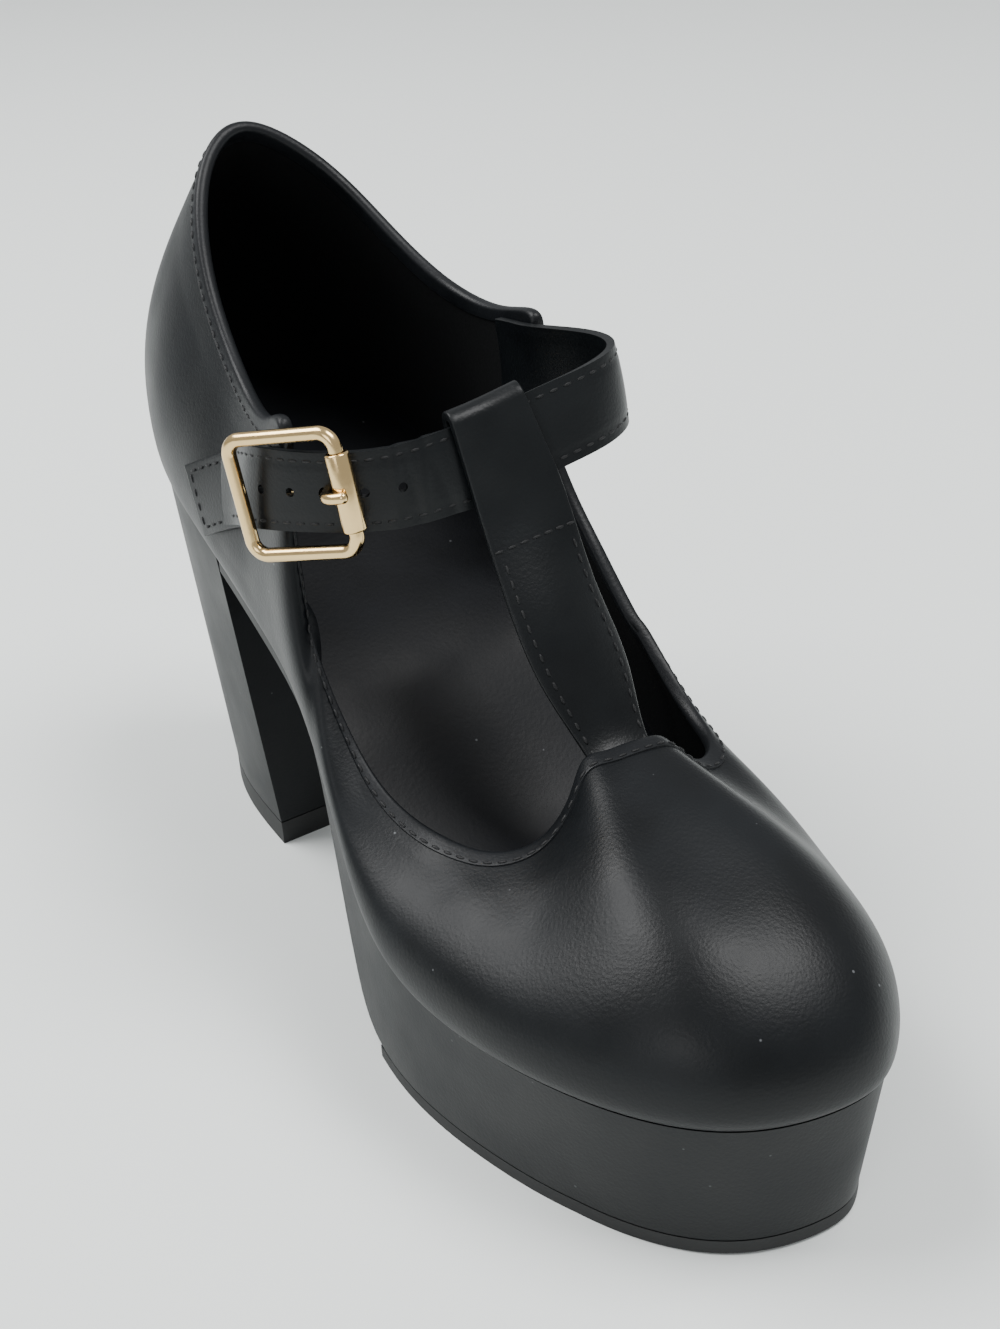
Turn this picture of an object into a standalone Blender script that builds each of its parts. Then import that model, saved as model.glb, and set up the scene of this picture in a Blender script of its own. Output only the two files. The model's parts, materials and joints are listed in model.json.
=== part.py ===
"""Platform shoe with a T-strap and a block heel: one right shoe, in metres, standing on the floor.

The toe points to -Y, the heel to +Y and the wearer's outer side to -X. The origin is on the floor
under the middle of its box. Every curved piece is worked out from one last: a sole line seen from
above, a foot bed seen from the side, and ribs that run from the sole line up to the opening's edge.
"""

from collections import namedtuple
from math import cos, pi, radians, sin

import bmesh
import bpy
import numpy as np
from mathutils import Matrix, Vector

# Driving dimensions of the last
LENGTH = 0.226
# Shares across the shoe are shares of this width; the ball of the sole line takes 0.84 of it
WIDTH_UNIT = 0.096
PLATFORM_HEIGHT = 0.033
HEEL_HEIGHT = 0.096
COLLAR_RISE = 0.070
BELLY = 0.004
TOE_SPRING = 0.001

# Walls, layers and clearances
WALL = 0.002
GAP = 0.0003
INSOLE = 0.0025
OUTSOLE = 0.003
SHANK = 0.0035
TOP_LIFT = 0.006
SOLE_INSET = 0.0012
SOLE_TAPER = 0.0036
TAPER_START = 0.55
TAPER_FULL = 0.85
SPRING_START = 0.82

# Heel block
BREAST = 0.258
HEEL_NARROWING = 0.25
HEEL_SETBACK = 0.12
HEEL_INSET = 0.0010
HEEL_RAKE = 0.0030

# Straps
STRAP = 0.0018
STRAP_WIDTH = 0.0157
T_STRAP_WIDTH = 0.0165
T_STRAP_CROWN = 0.0014
TAB = 0.0012
TAB_WIDTH = 0.0155
TUCK_GAP = 0.0009

# Buckle
BAR = 0.0014
BUCKLE_LONG = 0.0236
BUCKLE_TALL = 0.0228
BUCKLE_CORNER = 0.0032
BUCKLE_TURN = 8.0
BUCKLE_LIFT = 0.0016
ROLLER = 0.0023
ROLLER_LENGTH = 0.0150
PRONG = 0.0010
PRONG_HOLE = 0.0027
PRONG_HOLE_BACK = 0.0059
PRONG_REACH = 0.0024

# Where the buckle's centre lies along the ankle strap, as a share of it from its outer end
BUCKLE_PLACE = 0.212

# Half widths of the sole line, as shares of the width unit, at equal turns from heel to toe
SoleRow = namedtuple("SoleRow", "outer inner")
SOLE_LINE = (
    SoleRow(0.000, 0.000),
    SoleRow(0.150, 0.140),
    SoleRow(0.252, 0.244),
    SoleRow(0.318, 0.302),
    SoleRow(0.345, 0.318),
    SoleRow(0.362, 0.317),
    SoleRow(0.411, 0.336),
    SoleRow(0.478, 0.355),
    SoleRow(0.470, 0.363),
    SoleRow(0.410, 0.308),
    SoleRow(0.310, 0.224),
    SoleRow(0.168, 0.118),
    SoleRow(0.000, 0.000),
)

# Height of the foot bed: place as a share of the length, rise as a share of heel over platform
BedRow = namedtuple("BedRow", "along rise")
FOOT_BED = (
    BedRow(0.00, 1.000),
    BedRow(0.10, 0.930),
    BedRow(0.26, 0.785),
    BedRow(0.36, 0.655),
    BedRow(0.48, 0.470),
    BedRow(0.54, 0.275),
    BedRow(0.61, 0.085),
    BedRow(0.68, 0.005),
    BedRow(0.84, 0.000),
    BedRow(1.00, 0.000),
)

# How far the sole's underside has dropped from the shank (0) to the outsole (1)
DropRow = namedtuple("DropRow", "along drop")
UNDERSIDE = (
    DropRow(0.440, 0.000),
    DropRow(0.475, 0.070),
    DropRow(0.500, 0.290),
    DropRow(0.525, 0.600),
    DropRow(0.555, 0.880),
    DropRow(0.590, 0.985),
    DropRow(0.615, 1.000),
)

# Ribs of the upper, from the heel's back round the outer side, the toe and the inner side.
# foot: turn on the sole line where a rib starts (0 heel, 1 toe, 2 heel again)
# along, out, up: the rib's end on the opening's edge, as shares of length, ball width, collar rise
# belly: outward swell; rise, reach, drop: how the rib leaves the sole line and meets the edge
Rib = namedtuple("Rib", "foot along out up belly rise reach drop")
RIBS = (
    Rib(0.000, 0.118, -0.030, 1.020, 1.0, 0.42, 0.72, 0.36),
    Rib(0.110, 0.133, 0.096, 0.987, 1.0, 0.42, 0.72, 0.36),
    Rib(0.205, 0.172, 0.180, 0.872, 1.0, 0.42, 0.72, 0.36),
    Rib(0.285, 0.222, 0.228, 0.730, 1.0, 0.42, 0.72, 0.36),
    Rib(0.351, 0.292, 0.262, 0.630, 0.9, 0.38, 0.62, 0.36),
    Rib(0.412, 0.372, 0.300, 0.670, 0.6, 0.38, 0.55, 0.36),
    Rib(0.450, 0.428, 0.325, 0.780, 0.6, 0.36, 0.55, 0.36),
    Rib(0.475, 0.440, 0.335, 0.580, 0.6, 0.36, 0.55, 0.34),
    Rib(0.500, 0.452, 0.342, 0.340, 0.4, 0.40, 0.34, 0.34),
    Rib(0.525, 0.482, 0.358, 0.235, 0.6, 0.50, 0.38, 0.30),
    Rib(0.555, 0.527, 0.356, 0.180, 0.8, 0.55, 0.42, 0.26),
    Rib(0.590, 0.580, 0.345, 0.210, 0.8, 0.58, 0.46, 0.22),
    Rib(0.628, 0.637, 0.307, 0.265, 0.7, 0.60, 0.50, 0.18),
    Rib(0.675, 0.677, 0.262, 0.300, 0.7, 0.62, 0.52, 0.16),
    Rib(0.727, 0.699, 0.188, 0.345, 0.7, 0.62, 0.54, 0.14),
    Rib(0.780, 0.699, 0.112, 0.430, 0.7, 0.62, 0.54, 0.14),
    Rib(0.840, 0.692, 0.063, 0.510, 0.7, 0.62, 0.54, 0.14),
    Rib(0.900, 0.697, 0.022, 0.530, 0.7, 0.62, 0.54, 0.13),
    Rib(0.960, 0.700, -0.015, 0.534, 0.7, 0.62, 0.54, 0.13),
    Rib(1.020, 0.701, -0.050, 0.533, 0.7, 0.62, 0.54, 0.13),
    Rib(1.080, 0.701, -0.087, 0.526, 0.7, 0.62, 0.54, 0.13),
    Rib(1.145, 0.702, -0.122, 0.500, 0.7, 0.62, 0.54, 0.14),
    Rib(1.210, 0.706, -0.170, 0.425, 0.4, 0.62, 0.54, 0.15),
    Rib(1.270, 0.702, -0.228, 0.385, 0.3, 0.62, 0.52, 0.16),
    Rib(1.325, 0.680, -0.281, 0.375, 0.2, 0.60, 0.50, 0.18),
    Rib(1.372, 0.637, -0.310, 0.360, 0.2, 0.58, 0.46, 0.22),
    Rib(1.415, 0.588, -0.320, 0.365, 0.3, 0.55, 0.42, 0.26),
    Rib(1.450, 0.540, -0.320, 0.370, 0.5, 0.50, 0.38, 0.30),
    Rib(1.482, 0.500, -0.318, 0.380, 0.4, 0.44, 0.36, 0.32),
    Rib(1.510, 0.465, -0.320, 0.400, 0.3, 0.40, 0.34, 0.34),
    Rib(1.535, 0.434, -0.318, 0.490, 0.3, 0.38, 0.34, 0.34),
    Rib(1.560, 0.420, -0.316, 0.605, 0.3, 0.38, 0.34, 0.34),
    Rib(1.580, 0.417, -0.318, 0.760, 0.3, 0.38, 0.34, 0.36),
    Rib(1.605, 0.410, -0.323, 0.848, 0.3, 0.38, 0.34, 0.36),
    Rib(1.650, 0.345, -0.330, 0.745, 0.9, 0.38, 0.62, 0.36),
    Rib(1.715, 0.270, -0.305, 0.690, 0.9, 0.38, 0.62, 0.38),
    Rib(1.795, 0.207, -0.252, 0.765, 1.0, 0.42, 0.72, 0.36),
    Rib(1.890, 0.149, -0.172, 0.905, 1.0, 0.42, 0.72, 0.36),
)

# Middle line of the ankle strap's free arch, outer side to inner side; up is over the platform,
# lean in degrees
StrapRow = namedtuple("StrapRow", "along out up lean")
ANKLE_STRAP = (
    StrapRow(0.500, 0.312, 1.180, 2.0),
    StrapRow(0.526, 0.215, 1.183, 6.0),
    StrapRow(0.540, 0.105, 1.200, 14.0),
    StrapRow(0.546, 0.000, 1.222, 19.0),
    StrapRow(0.555, -0.111, 1.262, 19.0),
    StrapRow(0.558, -0.213, 1.290, 16.0),
    StrapRow(0.540, -0.303, 1.300, 10.0),
    StrapRow(0.486, -0.338, 1.286, 5.0),
)

# Where the strap and its tab lie on the quarters: place and height, as in the arch
SeatRow = namedtuple("SeatRow", "along up")
STRAP_OUTER = (SeatRow(0.355, 1.043), SeatRow(0.390, 1.088), SeatRow(0.425, 1.130))
STRAP_INNER = (SeatRow(0.412, 1.258), SeatRow(0.392, 1.248), SeatRow(0.372, 1.238))
TAB_SEAT = (
    SeatRow(0.262, 0.900),
    SeatRow(0.310, 0.975),
    SeatRow(0.360, 1.043),
    SeatRow(0.405, 1.102),
    SeatRow(0.425, 1.126),
)

# Middle of the T-strap's free face between the vamp and the ankle strap, and its share of the width
TRow = namedtuple("TRow", "along out up width")
T_STRAP = (
    TRow(0.658, -0.028, 0.665, 1.14),
    TRow(0.620, -0.012, 0.880, 1.20),
)

COLOURS = {
    "upper": ("1c1e21", 0.42, 0.0),
    "strap": ("1d1f22", 0.42, 0.0),
    "sole": ("202225", 0.45, 0.0),
    "rubber": ("101112", 0.70, 0.0),
    "insole": ("1a1b1d", 0.50, 0.0),
    "brass": ("d9b98a", 0.22, 1.0),
}

# Where the T-strap leaves the vamp and where it loops over the ankle strap
T_BASE_RING = 18.5
T_BASE_RINGS = 4.5
LOOP = 0.495

# Ribs where the search for the strap's seats starts
OUTER_RING = 6.0
TAB_RING = 4.5
INNER_RING = 32.5

RING_STEPS = 114
FOLD_STEPS = 7
RIB_STEPS = 9
TURN_STEPS = 38
CROSS_STEPS = 4


def smooth_line(knots, rows):
    """A function through the rows, one for each knot, whose slope and bend run on smoothly."""
    x = np.array(knots, float)
    y = np.array(rows, float)
    h = np.diff(x)
    count = len(x)
    matrix = np.eye(count)
    right = np.zeros_like(y)
    for i in range(1, count - 1):
        matrix[i, i - 1] = h[i - 1]
        matrix[i, i] = 2 * (h[i - 1] + h[i])
        matrix[i, i + 1] = h[i]
        right[i] = 6 * ((y[i + 1] - y[i]) / h[i] - (y[i] - y[i - 1]) / h[i - 1])
    bend = np.linalg.solve(matrix, right)

    def value(at):
        at = np.atleast_1d(np.asarray(at, float))
        i = np.clip(np.searchsorted(x, at) - 1, 0, count - 2)
        a = ((x[i + 1] - at) / h[i])[:, None]
        b = ((at - x[i]) / h[i])[:, None]
        span = (h[i] ** 2)[:, None] / 6
        return a * y[i] + b * y[i + 1] + ((a**3 - a) * bend[i] + (b**3 - b) * bend[i + 1]) * span

    return value


def closed_line(rows, lap, wrap=5):
    """The same through rows that close on themselves; lap is what each column gains in a lap."""
    rows = np.array(rows, float)
    lap = np.array(lap, float)
    count = len(rows)
    knots = np.arange(-wrap, count + wrap)
    padded = [rows[k % count] + lap * (k // count) for k in knots]
    return smooth_line(knots, padded)


def sole_half_widths():
    outer = [row.outer for row in SOLE_LINE]
    inner = [-row.inner for row in SOLE_LINE[-2:0:-1]]
    return [[width] for width in outer + inner]


BED_RISE = HEEL_HEIGHT - PLATFORM_HEIGHT
HALF_WIDTH = closed_line(sole_half_widths(), [0.0])
BED = smooth_line([row.along for row in FOOT_BED], [[row.rise] for row in FOOT_BED])
DROP = smooth_line([row.along for row in UNDERSIDE], [[row.drop] for row in UNDERSIDE])
RIB_LINE = closed_line(RIBS, [2, 0, 0, 0, 0, 0, 0, 0])
TURN_ROWS = len(SOLE_LINE) - 1


def spring(along):
    return TOE_SPRING * (np.clip(along - SPRING_START, 0, None) / (1 - SPRING_START)) ** 2


def bed_height(along):
    along = np.asarray(along, float)
    return PLATFORM_HEIGHT + BED_RISE * BED(along)[:, 0] + spring(along)


def place(along, out, height):
    """A point of the shoe from its share of the length, its distance out and its height."""
    along = np.asarray(along, float)
    x = -np.asarray(out, float) * np.ones_like(along)
    y = LENGTH * (0.5 - along)
    z = np.asarray(height, float) * np.ones_like(along)
    return np.stack([x, y, z], -1)


def sole_line(turn, inset=0.0):
    """Along and out on the sole line at a turn, moved in by inset; and its outward direction."""
    turn = np.asarray(turn, float)

    def spot(at):
        along = (1 - np.cos(pi * at)) / 2
        out = WIDTH_UNIT * HALF_WIDTH(at * TURN_ROWS % (2 * TURN_ROWS))[:, 0]
        return along * LENGTH, out

    along, out = spot(turn)
    step = 1e-3
    ahead, side = spot(turn + step)
    behind, other = spot(turn - step)
    run = np.stack([ahead - behind, side - other], -1)
    run /= np.linalg.norm(run, axis=-1, keepdims=True)
    away = np.stack([-run[:, 1], run[:, 0]], -1)
    along = (along - away[:, 0] * inset) / LENGTH
    out = out - away[:, 1] * inset
    return along, out, away


def rib_point(ring, climb):
    """Outer face of the upper: ring counts the ribs, climb runs from the sole line to the edge."""
    rib = RIB_LINE(ring)
    foot, edge_along, edge_out, up, belly, rise, reach, drop = rib.T
    along, out, away = sole_line(foot)
    start = place(along, out, bed_height(along))
    end = place(edge_along, edge_out * WIDTH_UNIT, bed_height(edge_along) + up * COLLAR_RISE)
    chord = end - start
    outward = np.stack([-away[:, 1], -away[:, 0], 0 * foot], -1)
    first = start + outward * (belly * BELLY)[:, None]
    first[:, 2] += rise * chord[:, 2]
    second = end - chord * reach[:, None]
    second[:, 2] = end[:, 2] - drop * chord[:, 2]
    t = np.asarray(climb, float)[:, None]
    return (
        start * (1 - t) ** 3
        + 3 * first * t * (1 - t) ** 2
        + 3 * second * t**2 * (1 - t)
        + end * t**3
    )


def face_out(ring, climb, offset):
    """A point at a distance off the upper's outer face; a minus sign goes inwards."""
    step = 1e-3
    ring = np.asarray(ring, float)
    climb = np.asarray(climb, float)
    across = rib_point(ring + step, climb) - rib_point(ring - step, climb)
    upward = rib_point(ring, climb + step) - rib_point(ring, climb - step)
    normal = np.cross(across, upward)
    normal /= np.linalg.norm(normal, axis=-1, keepdims=True)
    return rib_point(ring, climb) + normal * offset


def finish(name, mesh_data, colour, collection):
    """Makes a named object from a bmesh or a mesh, with its material and smooth shading."""
    if isinstance(mesh_data, bmesh.types.BMesh):
        mesh = bpy.data.meshes.new(name)
        mesh_data.to_mesh(mesh)
        mesh_data.free()
    else:
        mesh = mesh_data
    mesh.materials.clear()
    mesh.materials.append(material(name, *COLOURS[colour]))
    mesh.shade_smooth()
    mesh.set_sharp_from_angle(angle=radians(35))
    piece = bpy.data.objects.new(name, mesh)
    collection.objects.link(piece)
    return piece


def material(name, hex_colour, roughness, metallic):
    made = bpy.data.materials.new(name)
    made.use_nodes = True
    shader = made.node_tree.nodes["Principled BSDF"]
    parts = [int(hex_colour[i : i + 2], 16) / 255 for i in (0, 2, 4)]
    linear = [c / 12.92 if c <= 0.04045 else ((c + 0.055) / 1.055) ** 2.4 for c in parts]
    shader.inputs["Base Color"].default_value = (*linear, 1)
    shader.inputs["Roughness"].default_value = roughness
    shader.inputs["Metallic"].default_value = metallic
    return made


def grid(across, up, function):
    """A sheet of quads, whose points are function(u, v) with u and v from 0 to 1."""
    sheet = bmesh.new()
    bmesh.ops.create_grid(sheet, x_segments=across, y_segments=up, size=0.5)
    spots = np.array([vert.co[:2] for vert in sheet.verts]) + 0.5
    for vert, point in zip(sheet.verts, function(spots[:, 0], spots[:, 1])):
        vert.co = point
    return sheet


def weld(sheet, distance=1e-6):
    bmesh.ops.remove_doubles(sheet, verts=sheet.verts, dist=distance)


def thicken(piece, thickness, offset):
    """Gives an open sheet its wall: offset -1 keeps the face, 0 keeps the middle."""
    wall = piece.modifiers.new("wall", "SOLIDIFY")
    wall.thickness = thickness
    wall.offset = offset
    wall.use_even_offset = True
    wall.use_quality_normals = True


def slab(name, colour, collection, top, bottom, turns, cross=CROSS_STEPS):
    """A closed piece between two faces over the same run of the sole line.

    top and bottom give a point from a turn, 0 at the heel and 1 at the toe, and from side,
    0 on the outer edge and 1 on the inner one.
    """
    start, stop = turns
    solid = grid(TURN_STEPS, cross, lambda u, v: top(start + (stop - start) * u, v))
    spots = grid(TURN_STEPS, cross, lambda u, v: bottom(start + (stop - start) * u, v))
    lower = [vert.co.copy() for vert in spots.verts]
    spots.free()
    below = {tuple(vert.co): spot for vert, spot in zip(solid.verts, lower)}
    grown = bmesh.ops.extrude_face_region(solid, geom=list(solid.faces), use_keep_orig=True)
    for item in grown["geom"]:
        if isinstance(item, bmesh.types.BMVert):
            item.co = below[tuple(item.co)]
    weld(solid)
    bmesh.ops.recalc_face_normals(solid, faces=solid.faces)
    return finish(name, solid, colour, collection)


def across_sole(turn, side, inset, height):
    """A point between the outer and the inner sole line, at a height worked out from along."""
    outer_along, outer_out, _ = sole_line(turn, inset)
    inner_along, inner_out, _ = sole_line(2 - turn, inset)
    along = outer_along + (inner_along - outer_along) * side
    out = outer_out + (inner_out - outer_out) * side
    return place(along, out, height(along))


def make_upper(collection):
    def wall(u, v):
        return rib_point(u * len(RIBS), v)

    sheet = grid(RING_STEPS, RIB_STEPS, wall)
    weld(sheet)
    piece = finish("upper", sheet, "upper", collection)
    thicken(piece, WALL, -1)
    return piece


def make_insole(collection):
    inset = WALL + 2 * GAP
    low = GAP

    def top(turn, side):
        return across_sole(turn, side, inset, lambda along: bed_height(along) + low + INSOLE)

    def bottom(turn, side):
        return across_sole(turn, side, inset, lambda along: bed_height(along) + low)

    return slab("insole", "insole", collection, top, bottom, (0, 1))


def sole_underside(along):
    """Height of the sole's underside: thin under the shank, down to the outsole at the ball."""
    inside = np.clip(along, UNDERSIDE[0].along, UNDERSIDE[-1].along)
    drop = np.clip(DROP(inside)[:, 0], 0, 1)
    shank = bed_height(along) - GAP - SHANK
    floor = OUTSOLE + GAP + spring(along)
    return shank + (floor - shank) * drop


def breast_turn():
    return float(np.arccos(1 - 2 * BREAST) / pi)


def make_platform(collection):
    start = breast_turn() + 0.003
    foot = OUTSOLE + GAP

    def top(turn, side):
        return across_sole(turn, side, SOLE_INSET, lambda along: bed_height(along) - GAP)

    def bottom(turn, side):
        points = across_sole(turn, side, SOLE_INSET, sole_underside)
        depth = (PLATFORM_HEIGHT - points[:, 2]) / (PLATFORM_HEIGHT - foot)
        points[:, :2] = tapered(turn, side, depth)[:, :2]
        return points

    return slab("platform", "sole", collection, top, bottom, (start, 1))


def tapered(turn, side, depth):
    """Place of a point of the platform's side, pulled in with depth, most of all round the toe."""
    whole = across_sole(turn, side, SOLE_INSET, lambda along: 0 * along)
    narrow = across_sole(turn, side, SOLE_INSET + SOLE_TAPER, lambda along: 0 * along)
    along = 0.5 - whole[:, 1] / LENGTH
    share = np.clip((along - TAPER_START) / (TAPER_FULL - TAPER_START), 0, 1)
    return whole + (narrow - whole) * (share * np.clip(depth, 0, 1))[:, None]


def make_outsole(collection):
    start = float(np.arccos(1 - 2 * UNDERSIDE[-2].along) / pi)

    def level(turn, side, height):
        points = tapered(turn, side, 1.0 + 0 * turn)
        points[:, 2] = spring(0.5 - points[:, 1] / LENGTH) + height
        return points

    def top(turn, side):
        return level(turn, side, OUTSOLE)

    def bottom(turn, side):
        return level(turn, side, 0.0)

    return slab("outsole", "rubber", collection, top, bottom, (start, 1))


def heel_section(turn, side, depth, height):
    """A point of the heel's section at a depth, 0 at the seat and 1 on the floor."""
    points = across_sole(turn, side, HEEL_INSET, lambda along: 0 * along)
    breast_y = LENGTH * (0.5 - BREAST)
    points[:, 0] *= 1 - HEEL_NARROWING * depth
    points[:, 1] = breast_y + (points[:, 1] - breast_y) * (1 - HEEL_SETBACK * depth)
    points[:, 1] += HEEL_RAKE * depth
    points[:, 2] = height(0.5 - points[:, 1] / LENGTH)
    return points


def make_heel_block(collection):
    def top(turn, side):
        return heel_section(turn, side, 0.0, lambda along: bed_height(along) - GAP)

    def bottom(turn, side):
        return heel_section(turn, side, 1.0, lambda along: 0 * along + TOP_LIFT + GAP)

    return slab("heel_block", "sole", collection, top, bottom, (0, breast_turn()))


def make_heel_tip(collection):
    def top(turn, side):
        return heel_section(turn, side, 1.0, lambda along: 0 * along + TOP_LIFT)

    def bottom(turn, side):
        return heel_section(turn, side, 1.0, lambda along: 0 * along)

    return slab("heel_tip", "rubber", collection, top, bottom, (0, breast_turn()))


def face_at(seat, ring, offset):
    """The point off the upper's outer face at a seat's place and height, and the face's lean there.

    ring is a guess of the rib that is nearest; the search walks from it to the seat.
    """
    target = np.array([LENGTH * (0.5 - seat.along), PLATFORM_HEIGHT + seat.up * COLLAR_RISE])
    spot = np.array([ring, 0.6])
    step = 1e-3
    for _ in range(12):
        here = rib_point([spot[0]], [spot[1]])[0, 1:]
        ahead = (rib_point([spot[0] + step], [spot[1]])[0, 1:] - here) / step
        higher = (rib_point([spot[0]], [spot[1] + step])[0, 1:] - here) / step
        spot += np.linalg.solve(np.stack([ahead, higher], 1), target - here)
    near = face_out([spot[0]], [spot[1]], 0.0)[0]
    far = face_out([spot[0]], [spot[1]], offset)[0]
    away = face_out([spot[0]], [spot[1]], 1.0)[0] - near
    return far, float(np.degrees(np.arcsin(away[2])))


def seat_rows(seats, ring, offset):
    rows = []
    for seat in seats:
        point, lean = face_at(seat, ring, offset)
        along = 0.5 - point[1] / LENGTH
        up = (point[2] - PLATFORM_HEIGHT) / COLLAR_RISE
        rows.append([along, -point[0] / WIDTH_UNIT, up, lean])
    return rows


def run_lengths(points):
    """How far each point lies along the line through them."""
    steps = np.linalg.norm(np.diff(points, axis=0), axis=1)
    return np.concatenate([[0.0], np.cumsum(steps)])


def band_line(rows):
    """A smooth line through a band's rows, for a share of its length, and that length."""
    unit = np.array([LENGTH, WIDTH_UNIT, COLLAR_RISE])
    spans = run_lengths(np.array(rows)[:, :3] * unit)
    return smooth_line(spans / spans[-1], rows), spans[-1]


def strap_line():
    """Rows of the whole ankle strap: over the tab, along the free arch and under the quarter."""
    over = GAP + TAB + GAP + 2 * PRONG + GAP + STRAP / 2
    under = -(WALL + TUCK_GAP + STRAP / 2)
    rows = seat_rows(STRAP_OUTER, OUTER_RING, over)
    rows += [list(row) for row in ANKLE_STRAP]
    rows += seat_rows(STRAP_INNER, INNER_RING, under)
    return band_line(rows)


def band_frame(line, share):
    """Middle, run, outward and upward direction of a band whose rows the line gives."""

    def middle(at):
        along, out, up, _ = line(at).T
        return place(along, out * WIDTH_UNIT, PLATFORM_HEIGHT + up * COLLAR_RISE)

    share = np.asarray(share, float)
    step = 1e-3
    run = middle(share + step) - middle(share - step)
    run /= np.linalg.norm(run, axis=-1, keepdims=True)
    lean = np.radians(line(share)[:, 3])[:, None]
    level = np.cross(run, [0.0, 0.0, 1.0])
    level /= np.linalg.norm(level, axis=-1, keepdims=True)
    upright = np.cross(level, run)
    outward = level * np.cos(lean) + upright * np.sin(lean)
    upward = upright * np.cos(lean) - level * np.sin(lean)
    return middle(share), run, outward, upward


def make_ankle_strap(collection):
    line, _ = strap_line()

    def face(u, v):
        middle, _, _, upward = band_frame(line, u)
        return middle + upward * ((v - 0.5) * STRAP_WIDTH)[:, None]

    sheet = grid(44, 2, face)
    piece = finish("ankle_strap", sheet, "strap", collection)
    thicken(piece, STRAP, 0)
    return piece


def t_strap_row(shift):
    """Points up the T-strap; shift goes across it, from -1 on its outer edge to 1 on its inner one."""
    half = T_STRAP_WIDTH / 2
    ring = T_BASE_RING + shift * T_BASE_RINGS / 2
    tucked = [face_out([ring], [climb], -WALL - GAP)[0] for climb in (0.88, 0.94, 1.0)]
    free = []
    for row in T_STRAP:
        out = row.out * WIDTH_UNIT - shift * half * row.width
        point = place(row.along, out, PLATFORM_HEIGHT + row.up * COLLAR_RISE)
        free.append(point - np.array([0, -1, 1]) * T_STRAP_CROWN * shift**2)
    line, length = strap_line()
    frame = band_frame(line, [LOOP + shift * half / length])
    middle, _, outward, upward = (each[0] for each in frame)
    off = STRAP / 2 + GAP + STRAP
    front = [middle + outward * off + upward * STRAP_WIDTH * share for share in (-0.5, -0.1, 0.3)]
    crest = middle + upward * STRAP_WIDTH / 2
    angles = np.linspace(0, pi, FOLD_STEPS)
    fold = [crest + outward * off * cos(angle) + upward * off * sin(angle) for angle in angles]
    back = [middle - outward * off + upward * STRAP_WIDTH * share for share in (0.2, -0.2, -0.5)]
    return np.array(tucked + free + front + fold + back)


def make_t_strap(collection):
    spans = run_lengths(t_strap_row(0.0))

    def face(u, v):
        points = np.zeros((len(u), 3))
        for shift in np.unique(v):
            line = smooth_line(spans, t_strap_row(shift * 2 - 1))
            chosen = v == shift
            points[chosen] = line(u[chosen] * spans[-1])
        return points

    sheet = grid(54, 4, face)
    bmesh.ops.reverse_faces(sheet, faces=sheet.faces)
    piece = finish("t_strap", sheet, "strap", collection)
    thicken(piece, STRAP, -1)
    return piece


def make_buckle_tab(collection):
    line, _ = band_line(seat_rows(TAB_SEAT, TAB_RING, GAP + TAB / 2))

    def face(u, v):
        middle, _, _, upward = band_frame(line, u)
        return middle + upward * ((v - 0.5) * TAB_WIDTH)[:, None]

    piece = finish("buckle_tab", grid(20, 2, face), "strap", collection)
    thicken(piece, TAB, 0)
    return piece


def strap_spot(distance, offset):
    """A point off the ankle strap's middle face, at a distance from the buckle's centre."""
    line, length = strap_line()
    middle, _, outward, _ = band_frame(line, [BUCKLE_PLACE + distance / length])
    return Vector(middle[0] + outward[0] * offset)


def buckle_frame_matrix():
    """Place of the buckle: X along the strap, Y up across it, Z away from the shoe."""
    off = STRAP / 2 + GAP + ROLLER + BUCKLE_LIFT
    rear = strap_spot(-BUCKLE_LONG / 2, off)
    front = strap_spot(BUCKLE_LONG / 2, off)
    line, _ = strap_line()
    _, _, outward, _ = band_frame(line, [BUCKLE_PLACE])
    run = (front - rear).normalized()
    away = Vector(outward[0])
    away = (away - run * away.dot(run)).normalized()
    up = away.cross(run)
    centre = (rear + front) / 2
    turned = Matrix.Rotation(radians(BUCKLE_TURN), 4, "Z")
    return Matrix.Translation(centre) @ Matrix((run, up, away)).transposed().to_4x4() @ turned


def rounded_rectangle(long, tall, corner, steps=5):
    points = []
    corners = ((1, 1, 0), (-1, 1, 90), (-1, -1, 180), (1, -1, 270))
    for side_x, side_y, start in corners:
        for step in range(steps + 1):
            angle = radians(start + 90 * step / steps)
            x = side_x * (long / 2 - corner) + corner * cos(angle)
            y = side_y * (tall / 2 - corner) + corner * sin(angle)
            points.append((x, y, 0.0))
    return points


def wire(name, points, radius, cyclic, collection):
    """A round wire through the points, with closed ends."""
    curve = bpy.data.curves.new(name, "CURVE")
    curve.dimensions = "3D"
    curve.bevel_depth = radius
    curve.bevel_resolution = 2
    curve.use_fill_caps = True
    curve.materials.append(material(name, *COLOURS["brass"]))
    spline = curve.splines.new("POLY")
    spline.points.add(len(points) - 1)
    for spot, point in zip(spline.points, points):
        spot.co = (*point, 1)
    spline.use_cyclic_u = cyclic
    spline.use_smooth = True
    piece = bpy.data.objects.new(name, curve)
    collection.objects.link(piece)
    return piece


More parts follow.
